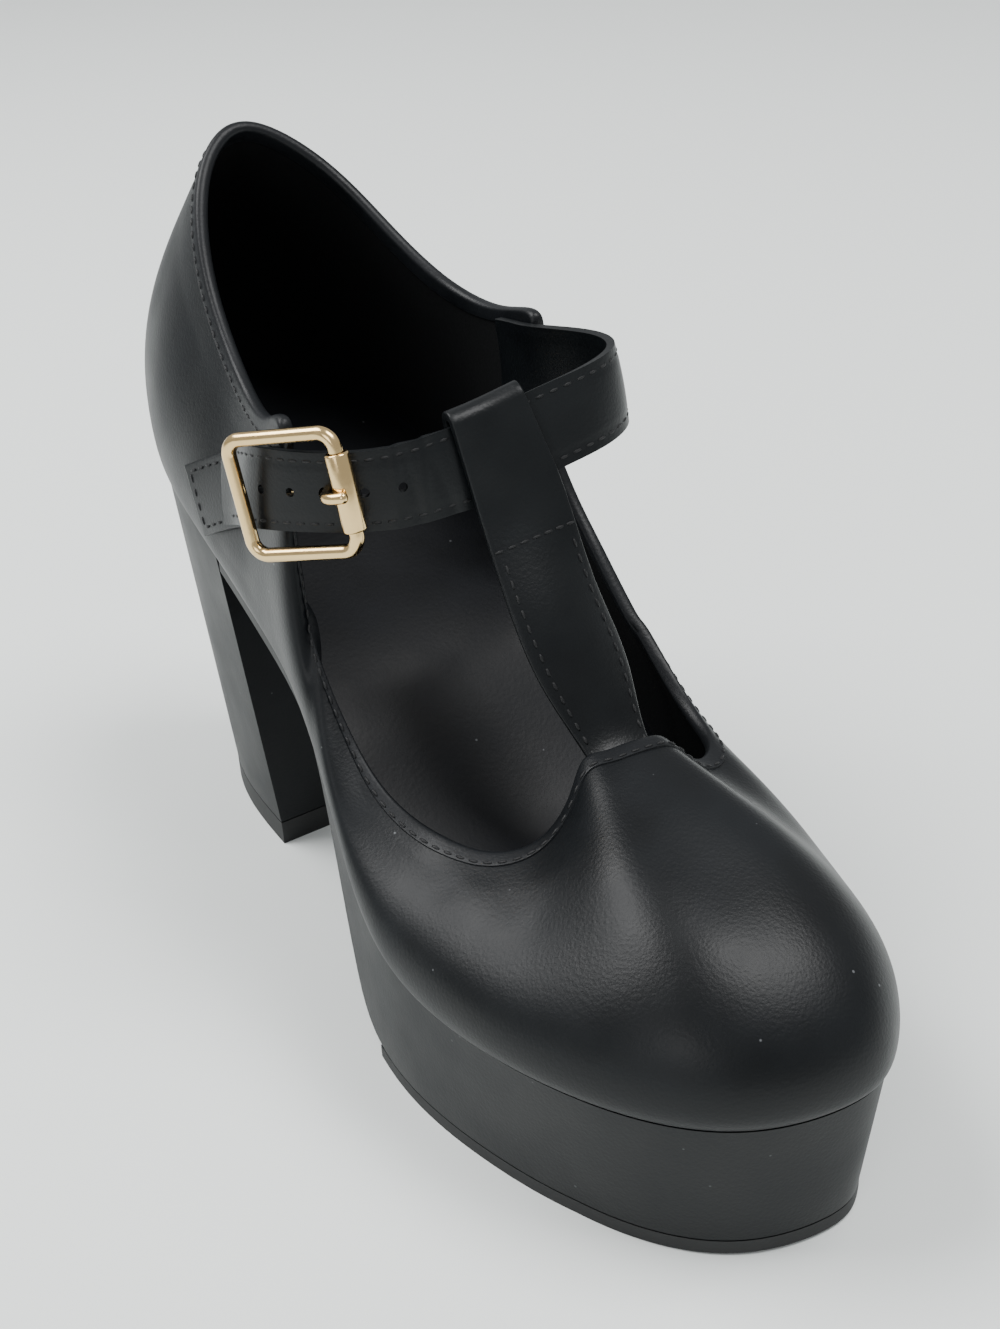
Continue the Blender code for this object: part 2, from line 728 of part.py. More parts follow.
def make_buckle(collection):
    place_at = buckle_frame_matrix()
    outline = rounded_rectangle(BUCKLE_LONG, BUCKLE_TALL, BUCKLE_CORNER)
    frame = wire("buckle_frame", outline, BAR, True, collection)
    frame.matrix_world = place_at
    mesh = bpy.data.meshes.new("buckle_roller")
    inner = BAR + GAP
    half = ROLLER_LENGTH / 2
    profile = [(ROLLER, 0, half), (ROLLER, 0, -half), (inner, 0, -half), (inner, 0, half)]
    mesh.from_pydata(profile, [(0, 1), (1, 2), (2, 3), (3, 0)], [])
    mesh.materials.append(material("buckle_roller", *COLOURS["brass"]))
    roller = bpy.data.objects.new("buckle_roller", mesh)
    collection.objects.link(roller)
    turned = roller.modifiers.new("turned", "SCREW")
    turned.steps = 20
    turned.render_steps = 20
    turned.use_merge_vertices = True
    turned.merge_threshold = 0.00001
    front_bar = Matrix.Translation((BUCKLE_LONG / 2, 0, 0)) @ Matrix.Rotation(-pi / 2, 4, "X")
    roller.matrix_world = place_at @ front_bar


def prong_hole_spot():
    return BUCKLE_LONG / 2 - PRONG_HOLE_BACK


def make_prong(collection):
    """The prong's root lies under the strap; it comes up through the hole and rests on the roller."""
    hole = prong_hole_spot()
    under = -(STRAP / 2 + GAP + PRONG)
    clear = ROLLER + GAP + PRONG
    bar = BUCKLE_LONG / 2
    place_at = buckle_frame_matrix()
    sunk = [(-0.0110, 1.0), (-0.0060, 1.0), (-0.0024, 1.0), (-0.0006, 0.45)]
    points = [strap_spot(hole + step, under * share) for step, share in sunk]
    raised = [
        (hole + 0.0008, -clear * 0.60),
        (bar - clear * 1.03, clear * 0.16),
        (bar - clear * 0.60, clear * 0.88),
        (bar, clear),
        (bar + PRONG_REACH, clear * 0.92),
    ]
    points += [place_at @ Vector((x, 0, z)) for x, z in raised]
    return wire("buckle_prong", [tuple(point) for point in points], PRONG, False, collection)


def cut_prong_hole(strap, cutters):
    """The hole that the prong comes up through."""
    hole = prong_hole_spot()
    inside = strap_spot(hole, -2 * STRAP)
    outside = strap_spot(hole, 2 * STRAP)
    drill = bmesh.new()
    bmesh.ops.create_cone(
        drill, cap_ends=True, segments=16, radius1=PRONG_HOLE, radius2=PRONG_HOLE, depth=4 * STRAP
    )
    mesh = bpy.data.meshes.new("prong_hole")
    drill.to_mesh(mesh)
    drill.free()
    cutter = bpy.data.objects.new("prong_hole", mesh)
    cutters.objects.link(cutter)
    away = outside - inside
    turned = away.to_track_quat("Z", "Y").to_matrix().to_4x4()
    cutter.matrix_world = Matrix.Translation((inside + outside) / 2) @ turned
    cutter.hide_render = True
    cutter.display_type = "WIRE"
    cut = strap.modifiers.new("prong_hole", "BOOLEAN")
    cut.operation = "DIFFERENCE"
    cut.object = cutter


def stand_in_the_middle(objects):
    """Moves everything so that the origin lies on the floor under the middle of the shoe's box."""
    bpy.context.view_layer.update()
    graph = bpy.context.evaluated_depsgraph_get()
    points = []
    for item in objects:
        if not item.hide_render:
            solid = item.evaluated_get(graph)
            points += [solid.matrix_world @ vert.co for vert in solid.to_mesh().vertices]
            solid.to_mesh_clear()
    spread = np.array(points)
    middle = (spread.min(axis=0) + spread.max(axis=0)) / 2
    shift = Matrix.Translation((-middle[0], -middle[1], 0))
    for item in objects:
        item.matrix_world = shift @ item.matrix_world
    bpy.context.view_layer.update()


def main():
    for item in list(bpy.data.objects):
        bpy.data.objects.remove(item)
    collection = bpy.data.collections.new("platform_shoe")
    cutters = bpy.data.collections.new("cutters")
    bpy.context.scene.collection.children.link(collection)
    bpy.context.scene.collection.children.link(cutters)
    make_upper(collection)
    make_insole(collection)
    make_platform(collection)
    make_outsole(collection)
    make_heel_block(collection)
    make_heel_tip(collection)
    strap = make_ankle_strap(collection)
    cut_prong_hole(strap, cutters)
    make_t_strap(collection)
    make_buckle_tab(collection)
    make_buckle(collection)
    make_prong(collection)
    stand_in_the_middle(list(collection.objects) + list(cutters.objects))


main()
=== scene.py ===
"""Looks of a right platform shoe with a T-strap, a block heel and a buckled ankle strap.

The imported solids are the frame: every piece made here has the same last as its solid, drawn finer,
and stands for it. Lengths are in metres. The last's own axes have the sole line's middle at the
origin; a finished mesh is moved from there to the frame's origin.
"""

from collections import namedtuple
from functools import cache
from math import cos, pi, radians, sin

import bmesh
import bpy
import numpy as np
from mathutils import Matrix, Vector
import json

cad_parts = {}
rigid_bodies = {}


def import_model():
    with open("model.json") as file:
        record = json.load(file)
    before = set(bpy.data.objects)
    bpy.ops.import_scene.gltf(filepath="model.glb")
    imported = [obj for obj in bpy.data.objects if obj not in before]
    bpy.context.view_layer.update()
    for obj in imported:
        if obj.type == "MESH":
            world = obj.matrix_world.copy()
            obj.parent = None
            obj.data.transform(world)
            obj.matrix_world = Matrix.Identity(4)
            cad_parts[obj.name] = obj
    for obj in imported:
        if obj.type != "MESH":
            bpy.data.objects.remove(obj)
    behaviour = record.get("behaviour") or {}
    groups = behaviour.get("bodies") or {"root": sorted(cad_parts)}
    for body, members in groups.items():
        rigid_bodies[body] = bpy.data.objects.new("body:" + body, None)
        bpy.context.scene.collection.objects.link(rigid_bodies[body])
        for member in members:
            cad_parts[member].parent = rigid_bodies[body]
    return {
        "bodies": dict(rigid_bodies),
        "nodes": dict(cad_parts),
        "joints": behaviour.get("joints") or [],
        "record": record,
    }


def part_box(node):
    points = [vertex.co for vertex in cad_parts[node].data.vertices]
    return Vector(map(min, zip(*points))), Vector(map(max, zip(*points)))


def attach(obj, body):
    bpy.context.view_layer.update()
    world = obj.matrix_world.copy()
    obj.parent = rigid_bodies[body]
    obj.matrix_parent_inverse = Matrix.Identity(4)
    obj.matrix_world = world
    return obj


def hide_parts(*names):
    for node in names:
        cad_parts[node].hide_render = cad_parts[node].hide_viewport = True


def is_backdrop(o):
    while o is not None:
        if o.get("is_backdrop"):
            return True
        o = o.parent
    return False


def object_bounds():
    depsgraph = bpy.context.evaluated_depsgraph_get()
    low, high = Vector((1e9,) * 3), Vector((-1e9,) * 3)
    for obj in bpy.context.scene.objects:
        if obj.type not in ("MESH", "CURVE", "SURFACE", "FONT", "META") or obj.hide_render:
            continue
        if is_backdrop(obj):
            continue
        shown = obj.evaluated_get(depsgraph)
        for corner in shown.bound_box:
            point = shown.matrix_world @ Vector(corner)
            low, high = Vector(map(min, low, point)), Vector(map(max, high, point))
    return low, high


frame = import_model()
cad_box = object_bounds()

# Driving dimensions of the last
LENGTH = 0.226
# Shares across the shoe are shares of this width; the ball of the sole line takes 0.84 of it
WIDTH_UNIT = 0.096
PLATFORM_HEIGHT = 0.033
HEEL_HEIGHT = 0.096
COLLAR_RISE = 0.070
BELLY = 0.004
TOE_SPRING = 0.001

# Walls, layers and clearances
WALL = 0.002
GAP = 0.0003
INSOLE = 0.0025
OUTSOLE = 0.003
SHANK = 0.0035
TOP_LIFT = 0.006
SOLE_INSET = 0.0012
SOLE_TAPER = 0.0036
TAPER_START = 0.55
TAPER_FULL = 0.85
SPRING_START = 0.82

# Heel block
BREAST = 0.258
HEEL_NARROWING = 0.25
HEEL_SETBACK = 0.12
HEEL_INSET = 0.0010
HEEL_RAKE = 0.0030

# Straps
STRAP = 0.0018
STRAP_WIDTH = 0.0157
T_STRAP_WIDTH = 0.0165
T_STRAP_CROWN = 0.0014
TAB = 0.0012
TAB_WIDTH = 0.0155
TUCK_GAP = 0.0009

# Buckle; its turn on the strap is in degrees
BAR = 0.0014
BUCKLE_LONG = 0.0236
BUCKLE_TALL = 0.0228
BUCKLE_CORNER = 0.0032
BUCKLE_TURN = 8.0
BUCKLE_LIFT = 0.0016
ROLLER = 0.0023
ROLLER_LENGTH = 0.0150
PRONG = 0.0010
PRONG_HOLE_BACK = 0.0059
PRONG_REACH = 0.0024
PRONG_FULLNESS = 1.1
PRONG_RUNS = 60
PRONG_TIP_RUNS = 9

# Where the buckle's centre lies along the ankle strap, as a share of it from its outer end
BUCKLE_PLACE = 0.212

# Half widths of the sole line, as shares of the width unit, at equal turns from heel to toe
SoleRow = namedtuple("SoleRow", "outer inner")
SOLE_LINE = (
    SoleRow(0.000, 0.000),
    SoleRow(0.150, 0.140),
    SoleRow(0.252, 0.244),
    SoleRow(0.318, 0.302),
    SoleRow(0.345, 0.318),
    SoleRow(0.362, 0.317),
    SoleRow(0.411, 0.336),
    SoleRow(0.478, 0.355),
    SoleRow(0.470, 0.363),
    SoleRow(0.410, 0.308),
    SoleRow(0.310, 0.224),
    SoleRow(0.168, 0.118),
    SoleRow(0.000, 0.000),
)

# Height of the foot bed: place as a share of the length, rise as a share of heel over platform
BedRow = namedtuple("BedRow", "along rise")
FOOT_BED = (
    BedRow(0.00, 1.000),
    BedRow(0.10, 0.930),
    BedRow(0.26, 0.785),
    BedRow(0.36, 0.655),
    BedRow(0.48, 0.470),
    BedRow(0.54, 0.275),
    BedRow(0.61, 0.085),
    BedRow(0.68, 0.005),
    BedRow(0.84, 0.000),
    BedRow(1.00, 0.000),
)

# How far the sole's underside has dropped from the shank (0) to the outsole (1)
DropRow = namedtuple("DropRow", "along drop")
UNDERSIDE = (
    DropRow(0.440, 0.000),
    DropRow(0.475, 0.070),
    DropRow(0.500, 0.290),
    DropRow(0.525, 0.600),
    DropRow(0.555, 0.880),
    DropRow(0.590, 0.985),
    DropRow(0.615, 1.000),
)

# Ribs of the upper, from the heel's back round the outer side, the toe and the inner side.
# foot: turn on the sole line where a rib starts (0 heel, 1 toe, 2 heel again)
# along, out, up: the rib's end on the opening's edge, as shares of length, ball width, collar rise
# belly: outward swell; rise, reach, drop: how the rib leaves the sole line and meets the edge
Rib = namedtuple("Rib", "foot along out up belly rise reach drop")
RIBS = (
    Rib(0.000, 0.118, -0.030, 1.020, 1.0, 0.42, 0.72, 0.36),
    Rib(0.110, 0.133, 0.096, 0.987, 1.0, 0.42, 0.72, 0.36),
    Rib(0.205, 0.172, 0.180, 0.872, 1.0, 0.42, 0.72, 0.36),
    Rib(0.285, 0.222, 0.228, 0.730, 1.0, 0.42, 0.72, 0.36),
    Rib(0.351, 0.292, 0.262, 0.630, 0.9, 0.38, 0.62, 0.36),
    Rib(0.412, 0.372, 0.300, 0.670, 0.6, 0.38, 0.55, 0.36),
    Rib(0.450, 0.428, 0.325, 0.780, 0.6, 0.36, 0.55, 0.36),
    Rib(0.475, 0.440, 0.335, 0.580, 0.6, 0.36, 0.55, 0.34),
    Rib(0.500, 0.452, 0.342, 0.340, 0.4, 0.40, 0.34, 0.34),
    Rib(0.525, 0.482, 0.358, 0.235, 0.6, 0.50, 0.38, 0.30),
    Rib(0.555, 0.527, 0.356, 0.180, 0.8, 0.55, 0.42, 0.26),
    Rib(0.590, 0.580, 0.345, 0.210, 0.8, 0.58, 0.46, 0.22),
    Rib(0.628, 0.637, 0.307, 0.265, 0.7, 0.60, 0.50, 0.18),
    Rib(0.675, 0.677, 0.262, 0.300, 0.7, 0.62, 0.52, 0.16),
    Rib(0.727, 0.699, 0.188, 0.345, 0.7, 0.62, 0.54, 0.14),
    Rib(0.780, 0.699, 0.112, 0.430, 0.7, 0.62, 0.54, 0.14),
    Rib(0.840, 0.692, 0.063, 0.510, 0.7, 0.62, 0.54, 0.14),
    Rib(0.900, 0.697, 0.022, 0.530, 0.7, 0.62, 0.54, 0.13),
    Rib(0.960, 0.700, -0.015, 0.534, 0.7, 0.62, 0.54, 0.13),
    Rib(1.020, 0.701, -0.050, 0.533, 0.7, 0.62, 0.54, 0.13),
    Rib(1.080, 0.701, -0.087, 0.526, 0.7, 0.62, 0.54, 0.13),
    Rib(1.145, 0.702, -0.122, 0.500, 0.7, 0.62, 0.54, 0.14),
    Rib(1.210, 0.706, -0.170, 0.425, 0.4, 0.62, 0.54, 0.15),
    Rib(1.270, 0.702, -0.228, 0.385, 0.3, 0.62, 0.52, 0.16),
    Rib(1.325, 0.680, -0.281, 0.375, 0.2, 0.60, 0.50, 0.18),
    Rib(1.372, 0.637, -0.310, 0.360, 0.2, 0.58, 0.46, 0.22),
    Rib(1.415, 0.588, -0.320, 0.365, 0.3, 0.55, 0.42, 0.26),
    Rib(1.450, 0.540, -0.320, 0.370, 0.5, 0.50, 0.38, 0.30),
    Rib(1.482, 0.500, -0.318, 0.380, 0.4, 0.44, 0.36, 0.32),
    Rib(1.510, 0.465, -0.320, 0.400, 0.3, 0.40, 0.34, 0.34),
    Rib(1.535, 0.434, -0.318, 0.490, 0.3, 0.38, 0.34, 0.34),
    Rib(1.560, 0.420, -0.316, 0.605, 0.3, 0.38, 0.34, 0.34),
    Rib(1.580, 0.417, -0.318, 0.760, 0.3, 0.38, 0.34, 0.36),
    Rib(1.605, 0.410, -0.323, 0.848, 0.3, 0.38, 0.34, 0.36),
    Rib(1.650, 0.345, -0.330, 0.745, 0.9, 0.38, 0.62, 0.36),
    Rib(1.715, 0.270, -0.305, 0.690, 0.9, 0.38, 0.62, 0.38),
    Rib(1.795, 0.207, -0.252, 0.765, 1.0, 0.42, 0.72, 0.36),
    Rib(1.890, 0.149, -0.172, 0.905, 1.0, 0.42, 0.72, 0.36),
)

# Middle line of the ankle strap's free arch, outer side to inner side; up is over the platform,
# lean in degrees
StrapRow = namedtuple("StrapRow", "along out up lean")
ANKLE_STRAP = (
    StrapRow(0.500, 0.312, 1.180, 2.0),
    StrapRow(0.526, 0.215, 1.183, 6.0),
    StrapRow(0.540, 0.105, 1.200, 14.0),
    StrapRow(0.546, 0.000, 1.222, 19.0),
    StrapRow(0.555, -0.111, 1.262, 19.0),
    StrapRow(0.558, -0.213, 1.290, 16.0),
    StrapRow(0.540, -0.303, 1.300, 10.0),
    StrapRow(0.486, -0.338, 1.286, 5.0),
)

# Where the strap and its tab lie on the quarters: place and height, as in the arch
SeatRow = namedtuple("SeatRow", "along up")
STRAP_OUTER = (SeatRow(0.355, 1.043), SeatRow(0.390, 1.088), SeatRow(0.425, 1.130))
STRAP_INNER = (SeatRow(0.412, 1.258), SeatRow(0.392, 1.248), SeatRow(0.372, 1.238))
TAB_SEAT = (
    SeatRow(0.262, 0.900),
    SeatRow(0.310, 0.975),
    SeatRow(0.360, 1.043),
    SeatRow(0.405, 1.102),
    SeatRow(0.425, 1.126),
)

# Middle of the T-strap's free face between the vamp and the ankle strap, and its share of the width
TRow = namedtuple("TRow", "along out up width")
T_STRAP = (
    TRow(0.658, -0.028, 0.665, 1.14),
    TRow(0.620, -0.012, 0.880, 1.20),
)

# Where the T-strap leaves the vamp and where it loops over the ankle strap
T_BASE_RING = 18.5
T_BASE_RINGS = 4.5
LOOP = 0.495

# Ribs where the search for the strap's seats starts
OUTER_RING = 6.0
TAB_RING = 4.5
INNER_RING = 32.5

FOLD_STEPS = 13


def smooth_line(knots, rows):
    """A function through the rows, one for each knot, whose slope and bend run on smoothly."""
    x = np.array(knots, float)
    y = np.array(rows, float)
    h = np.diff(x)
    count = len(x)
    matrix = np.eye(count)
    right = np.zeros_like(y)
    for i in range(1, count - 1):
        matrix[i, i - 1] = h[i - 1]
        matrix[i, i] = 2 * (h[i - 1] + h[i])
        matrix[i, i + 1] = h[i]
        right[i] = 6 * ((y[i + 1] - y[i]) / h[i] - (y[i] - y[i - 1]) / h[i - 1])
    bend = np.linalg.solve(matrix, right)

    def value(at):
        at = np.atleast_1d(np.asarray(at, float))
        i = np.clip(np.searchsorted(x, at) - 1, 0, count - 2)
        a = ((x[i + 1] - at) / h[i])[:, None]
        b = ((at - x[i]) / h[i])[:, None]
        span = (h[i] ** 2)[:, None] / 6
        return a * y[i] + b * y[i + 1] + ((a**3 - a) * bend[i] + (b**3 - b) * bend[i + 1]) * span

    return value


def closed_line(rows, lap, wrap=5):
    """The same through rows that close on themselves; lap is what each column gains in a lap."""
    rows = np.array(rows, float)
    lap = np.array(lap, float)
    count = len(rows)
    knots = np.arange(-wrap, count + wrap)
    padded = [rows[k % count] + lap * (k // count) for k in knots]
    return smooth_line(knots, padded)


def unit(rows):
    """The same directions with a length of one."""
    return rows / np.linalg.norm(rows, axis=-1, keepdims=True)


def sole_half_widths():
    """Half widths once round the sole line, outer side first, inner side with a minus sign."""
    outer = [row.outer for row in SOLE_LINE]
    inner = [-row.inner for row in SOLE_LINE[-2:0:-1]]
    return [[width] for width in outer + inner]


BED_RISE = HEEL_HEIGHT - PLATFORM_HEIGHT
HALF_WIDTH = closed_line(sole_half_widths(), [0.0])
BED = smooth_line([row.along for row in FOOT_BED], [[row.rise] for row in FOOT_BED])
DROP = smooth_line([row.along for row in UNDERSIDE], [[row.drop] for row in UNDERSIDE])
RIB_LINE = closed_line(RIBS, [2, 0, 0, 0, 0, 0, 0, 0])
TURN_ROWS = len(SOLE_LINE) - 1


def spring(along):
    return TOE_SPRING * (np.clip(along - SPRING_START, 0, None) / (1 - SPRING_START)) ** 2


def bed_height(along):
    along = np.asarray(along, float)
    return PLATFORM_HEIGHT + BED_RISE * BED(along)[:, 0] + spring(along)


def place(along, out, height):
    """A point of the shoe from its share of the length, its distance out and its height."""
    along = np.asarray(along, float)
    x = -np.asarray(out, float) * np.ones_like(along)
    y = LENGTH * (0.5 - along)
    z = np.asarray(height, float) * np.ones_like(along)
    return np.stack([x, y, z], -1)


def sole_line(turn, inset=0.0):
    """Along and out on the sole line at a turn, moved in by inset; and its outward direction."""
    turn = np.asarray(turn, float)

    def spot(at):
        along = (1 - np.cos(pi * at)) / 2
        out = WIDTH_UNIT * HALF_WIDTH(at * TURN_ROWS % (2 * TURN_ROWS))[:, 0]
        return along * LENGTH, out

    along, out = spot(turn)
    step = 1e-3
    ahead, side = spot(turn + step)
    behind, other = spot(turn - step)
    run = unit(np.stack([ahead - behind, side - other], -1))
    away = np.stack([-run[:, 1], run[:, 0]], -1)
    along = (along - away[:, 0] * inset) / LENGTH
    out = out - away[:, 1] * inset
    return along, out, away


def rib_point(ring, climb):
    """Outer face of the upper: ring counts the ribs, climb runs from the sole line to the edge."""
    rib = RIB_LINE(ring)
    foot, edge_along, edge_out, up, belly, rise, reach, drop = rib.T
    along, out, away = sole_line(foot)
    start = place(along, out, bed_height(along))
    end = place(edge_along, edge_out * WIDTH_UNIT, bed_height(edge_along) + up * COLLAR_RISE)
    chord = end - start
    outward = np.stack([-away[:, 1], -away[:, 0], 0 * foot], -1)
    first = start + outward * (belly * BELLY)[:, None]
    first[:, 2] += rise * chord[:, 2]
    second = end - chord * reach[:, None]
    second[:, 2] = end[:, 2] - drop * chord[:, 2]
    t = np.asarray(climb, float)[:, None]
    return (
        start * (1 - t) ** 3
        + 3 * first * t * (1 - t) ** 2
        + 3 * second * t**2 * (1 - t)
        + end * t**3
    )


def face_out(ring, climb, offset):
    """A point at a distance off the upper's outer face; a minus sign goes inwards."""
    step = 1e-3
    ring = np.asarray(ring, float)
    climb = np.asarray(climb, float)
    across = rib_point(ring + step, climb) - rib_point(ring - step, climb)
    upward = rib_point(ring, climb + step) - rib_point(ring, climb - step)
    normal = unit(np.cross(across, upward))
    return rib_point(ring, climb) + normal * np.reshape(offset, (-1, 1))


def across_sole(turn, side, inset, height):
    """A point between the outer and the inner sole line, at a height worked out from along."""
    outer_along, outer_out, _ = sole_line(turn, inset)
    inner_along, inner_out, _ = sole_line(2 - turn, inset)
    along = outer_along + (inner_along - outer_along) * side
    out = outer_out + (inner_out - outer_out) * side
    return place(along, out, height(along))


def sole_underside(along):
    """Height of the sole's underside: thin under the shank, down to the outsole at the ball."""
    inside = np.clip(along, UNDERSIDE[0].along, UNDERSIDE[-1].along)
    drop = np.clip(DROP(inside)[:, 0], 0, 1)
    shank = bed_height(along) - GAP - SHANK
    floor = OUTSOLE + GAP + spring(along)
    return shank + (floor - shank) * drop


def turn_at(along):
    """Turn of the sole line at a share of the length."""
    return float(np.arccos(1 - 2 * along) / pi)


def on_floor(along):
    """No height, wherever the point is."""
    return 0 * along


def tapered(turn, side, depth):
    """Place of a point of the platform's side, pulled in with depth, most of all round the toe."""
    whole = across_sole(turn, side, SOLE_INSET, on_floor)
    narrow = across_sole(turn, side, SOLE_INSET + SOLE_TAPER, on_floor)
    along = 0.5 - whole[:, 1] / LENGTH
    share = np.clip((along - TAPER_START) / (TAPER_FULL - TAPER_START), 0, 1)
    return whole + (narrow - whole) * (share * np.clip(depth, 0, 1))[:, None]


def heel_section(turn, side, depth, height):
    """A point of the heel's section at a depth, 0 at the seat and 1 on the floor."""
    points = across_sole(turn, side, HEEL_INSET, on_floor)
    breast_y = LENGTH * (0.5 - BREAST)
    points[:, 0] *= 1 - HEEL_NARROWING * depth
    points[:, 1] = breast_y + (points[:, 1] - breast_y) * (1 - HEEL_SETBACK * depth)
    points[:, 1] += HEEL_RAKE * depth
    points[:, 2] = height(0.5 - points[:, 1] / LENGTH)
    return points


def face_at(seat, ring, offset):
    """The point off the upper's outer face at a seat's place and height, and the face's lean there.

    ring is a guess of the rib that is nearest; the search walks from it to the seat.
    """
    target = np.array([LENGTH * (0.5 - seat.along), PLATFORM_HEIGHT + seat.up * COLLAR_RISE])
    spot = np.array([ring, 0.6])
    step = 1e-3
    for _ in range(12):
        here = rib_point([spot[0]], [spot[1]])[0, 1:]
        ahead = (rib_point([spot[0] + step], [spot[1]])[0, 1:] - here) / step
        higher = (rib_point([spot[0]], [spot[1] + step])[0, 1:] - here) / step
        spot += np.linalg.solve(np.stack([ahead, higher], 1), target - here)
    near = face_out([spot[0]], [spot[1]], 0.0)[0]
    far = face_out([spot[0]], [spot[1]], offset)[0]
    away = face_out([spot[0]], [spot[1]], 1.0)[0] - near
    return far, float(np.degrees(np.arcsin(away[2])))


def seat_rows(seats, ring, offset):
    """Rows of a band that lies on a quarter, at an offset from its face."""
    rows = []
    for seat in seats:
        point, lean = face_at(seat, ring, offset)
        along = 0.5 - point[1] / LENGTH
        up = (point[2] - PLATFORM_HEIGHT) / COLLAR_RISE
        rows.append([along, -point[0] / WIDTH_UNIT, up, lean])
    return rows


def run_lengths(points):
    """How far each point lies along the line through them."""
    steps = np.linalg.norm(np.diff(points, axis=0), axis=1)
    return np.concatenate([[0.0], np.cumsum(steps)])


def band_line(rows):
    """A smooth line through a band's rows, for a share of its length, and that length."""
    unit = np.array([LENGTH, WIDTH_UNIT, COLLAR_RISE])
    spans = run_lengths(np.array(rows)[:, :3] * unit)
    return smooth_line(spans / spans[-1], rows), spans[-1]


@cache
def strap_line():
    """Rows of the whole ankle strap: over the tab, along the free arch and under the quarter."""
    over = GAP + TAB + GAP + 2 * PRONG + GAP + STRAP / 2
    under = -(WALL + TUCK_GAP + STRAP / 2)
    rows = seat_rows(STRAP_OUTER, OUTER_RING, over)
    rows += [list(row) for row in ANKLE_STRAP]
    rows += seat_rows(STRAP_INNER, INNER_RING, under)
    return band_line(rows)


def band_frame(line, share):
    """Middle, run, outward and upward direction of a band whose rows the line gives."""

    def middle(at):
        along, out, up, _ = line(at).T
        return place(along, out * WIDTH_UNIT, PLATFORM_HEIGHT + up * COLLAR_RISE)

    share = np.asarray(share, float)
    step = 1e-3
    run = unit(middle(share + step) - middle(share - step))
    lean = np.radians(line(share)[:, 3])[:, None]
    level = unit(np.cross(run, [0.0, 0.0, 1.0]))
    upright = np.cross(level, run)
    outward = level * np.cos(lean) + upright * np.sin(lean)
    upward = upright * np.cos(lean) - level * np.sin(lean)
    return middle(share), run, outward, upward


def off_band(line, share, across, off):
    """A point of a band, at a distance across it and at one off its middle face."""
    middle, _, outward, upward = band_frame(line, share)
    return middle + upward * np.reshape(across, (-1, 1)) + outward * np.reshape(off, (-1, 1))


@cache
def t_strap_row(shift):
    """Points up the T-strap; shift goes across it, from -1 on its outer edge to 1 on its inner one."""
    half = T_STRAP_WIDTH / 2
    ring = T_BASE_RING + shift * T_BASE_RINGS / 2
    tucked = [face_out([ring], [climb], -WALL - GAP)[0] for climb in (0.88, 0.94, 1.0)]
    free = []
    for row in T_STRAP:
        out = row.out * WIDTH_UNIT - shift * half * row.width
        point = place(row.along, out, PLATFORM_HEIGHT + row.up * COLLAR_RISE)
        free.append(point - np.array([0, -1, 1]) * T_STRAP_CROWN * shift**2)
    line, length = strap_line()
    frame = band_frame(line, [LOOP + shift * half / length])
    middle, _, outward, upward = (each[0] for each in frame)
    off = STRAP / 2 + GAP + STRAP
    front = [middle + outward * off + upward * STRAP_WIDTH * share for share in (-0.5, -0.1, 0.3)]
    crest = middle + upward * STRAP_WIDTH / 2
    angles = np.linspace(0, pi, FOLD_STEPS)
    fold = [crest + outward * off * cos(angle) + upward * off * sin(angle) for angle in angles]
    back = [middle - outward * off + upward * STRAP_WIDTH * share for share in (0.2, -0.2, -0.5)]
    return np.array(tucked + free + front + fold + back)


def strap_spot(distance, offset):
    """A point off the ankle strap's middle face, at a distance from the buckle's centre."""
    line, length = strap_line()
    return Vector(off_band(line, [BUCKLE_PLACE + distance / length], 0, offset)[0])


def buckle_frame_matrix():
    """Place of the buckle: X along the strap, Y up across it, Z away from the shoe."""
    off = STRAP / 2 + GAP + ROLLER + BUCKLE_LIFT
    rear = strap_spot(-BUCKLE_LONG / 2, off)
    front = strap_spot(BUCKLE_LONG / 2, off)
    line, _ = strap_line()
    _, _, outward, _ = band_frame(line, [BUCKLE_PLACE])
    run = (front - rear).normalized()
    away = Vector(outward[0])
    away = (away - run * away.dot(run)).normalized()
    up = away.cross(run)
    centre = (rear + front) / 2
    turned = Matrix.Rotation(radians(BUCKLE_TURN), 4, "Z")
    return Matrix.Translation(centre) @ Matrix((run, up, away)).transposed().to_4x4() @ turned


def rounded_rectangle(long, tall, corner, steps):
    """Points round a rectangle with rounded corners, each corner drawn in steps."""
    points = []
    corners = ((1, 1, 0), (-1, 1, 90), (-1, -1, 180), (1, -1, 270))
    for side_x, side_y, start in corners:
        for step in range(steps + 1):
            angle = radians(start + 90 * step / steps)
            x = side_x * (long / 2 - corner) + corner * cos(angle)
            y = side_y * (tall / 2 - corner) + corner * sin(angle)
            points.append((x, y, 0.0))
    return points


def prong_hole_spot():
    """How far in front of the buckle's centre the prong comes up."""
    return BUCKLE_LONG / 2 - PRONG_HOLE_BACK


# Fineness of the drawn pieces
UPPER_RINGS = 608
UPPER_CLIMBS = 54
SLAB_TURNS = 150
SLAB_CROSS = 10
STRAP_RUNS = 300
STRAP_CROSS = 16
WIRE_RESOLUTION = 6
ROLLER_STEPS = 48
TAB_RUNS = 120
SEAM_SAMPLES = 1500
# How far the upper's rows crowd towards the sole line and the opening's edge
CROWDING = 0.1

# Rounding of wrapped and trimmed edges
SOCK_EDGE = 0.0006
PLATFORM_EDGE = 0.0009
OUTSOLE_EDGE = 0.0005
HEEL_EDGE = 0.0008
STRAP_EDGE = 0.0003
T_STRAP_EDGE = 0.0004
ROLLER_RIM = 0.0004

# Folded edge round the opening
FOLD_WIDTH = 0.0031
FOLD_LIFT = 0.0004
FOLD_LIP = 0.0004
FOLD_FLATNESS = 0.8
FOLD_ARC_STEPS = 9

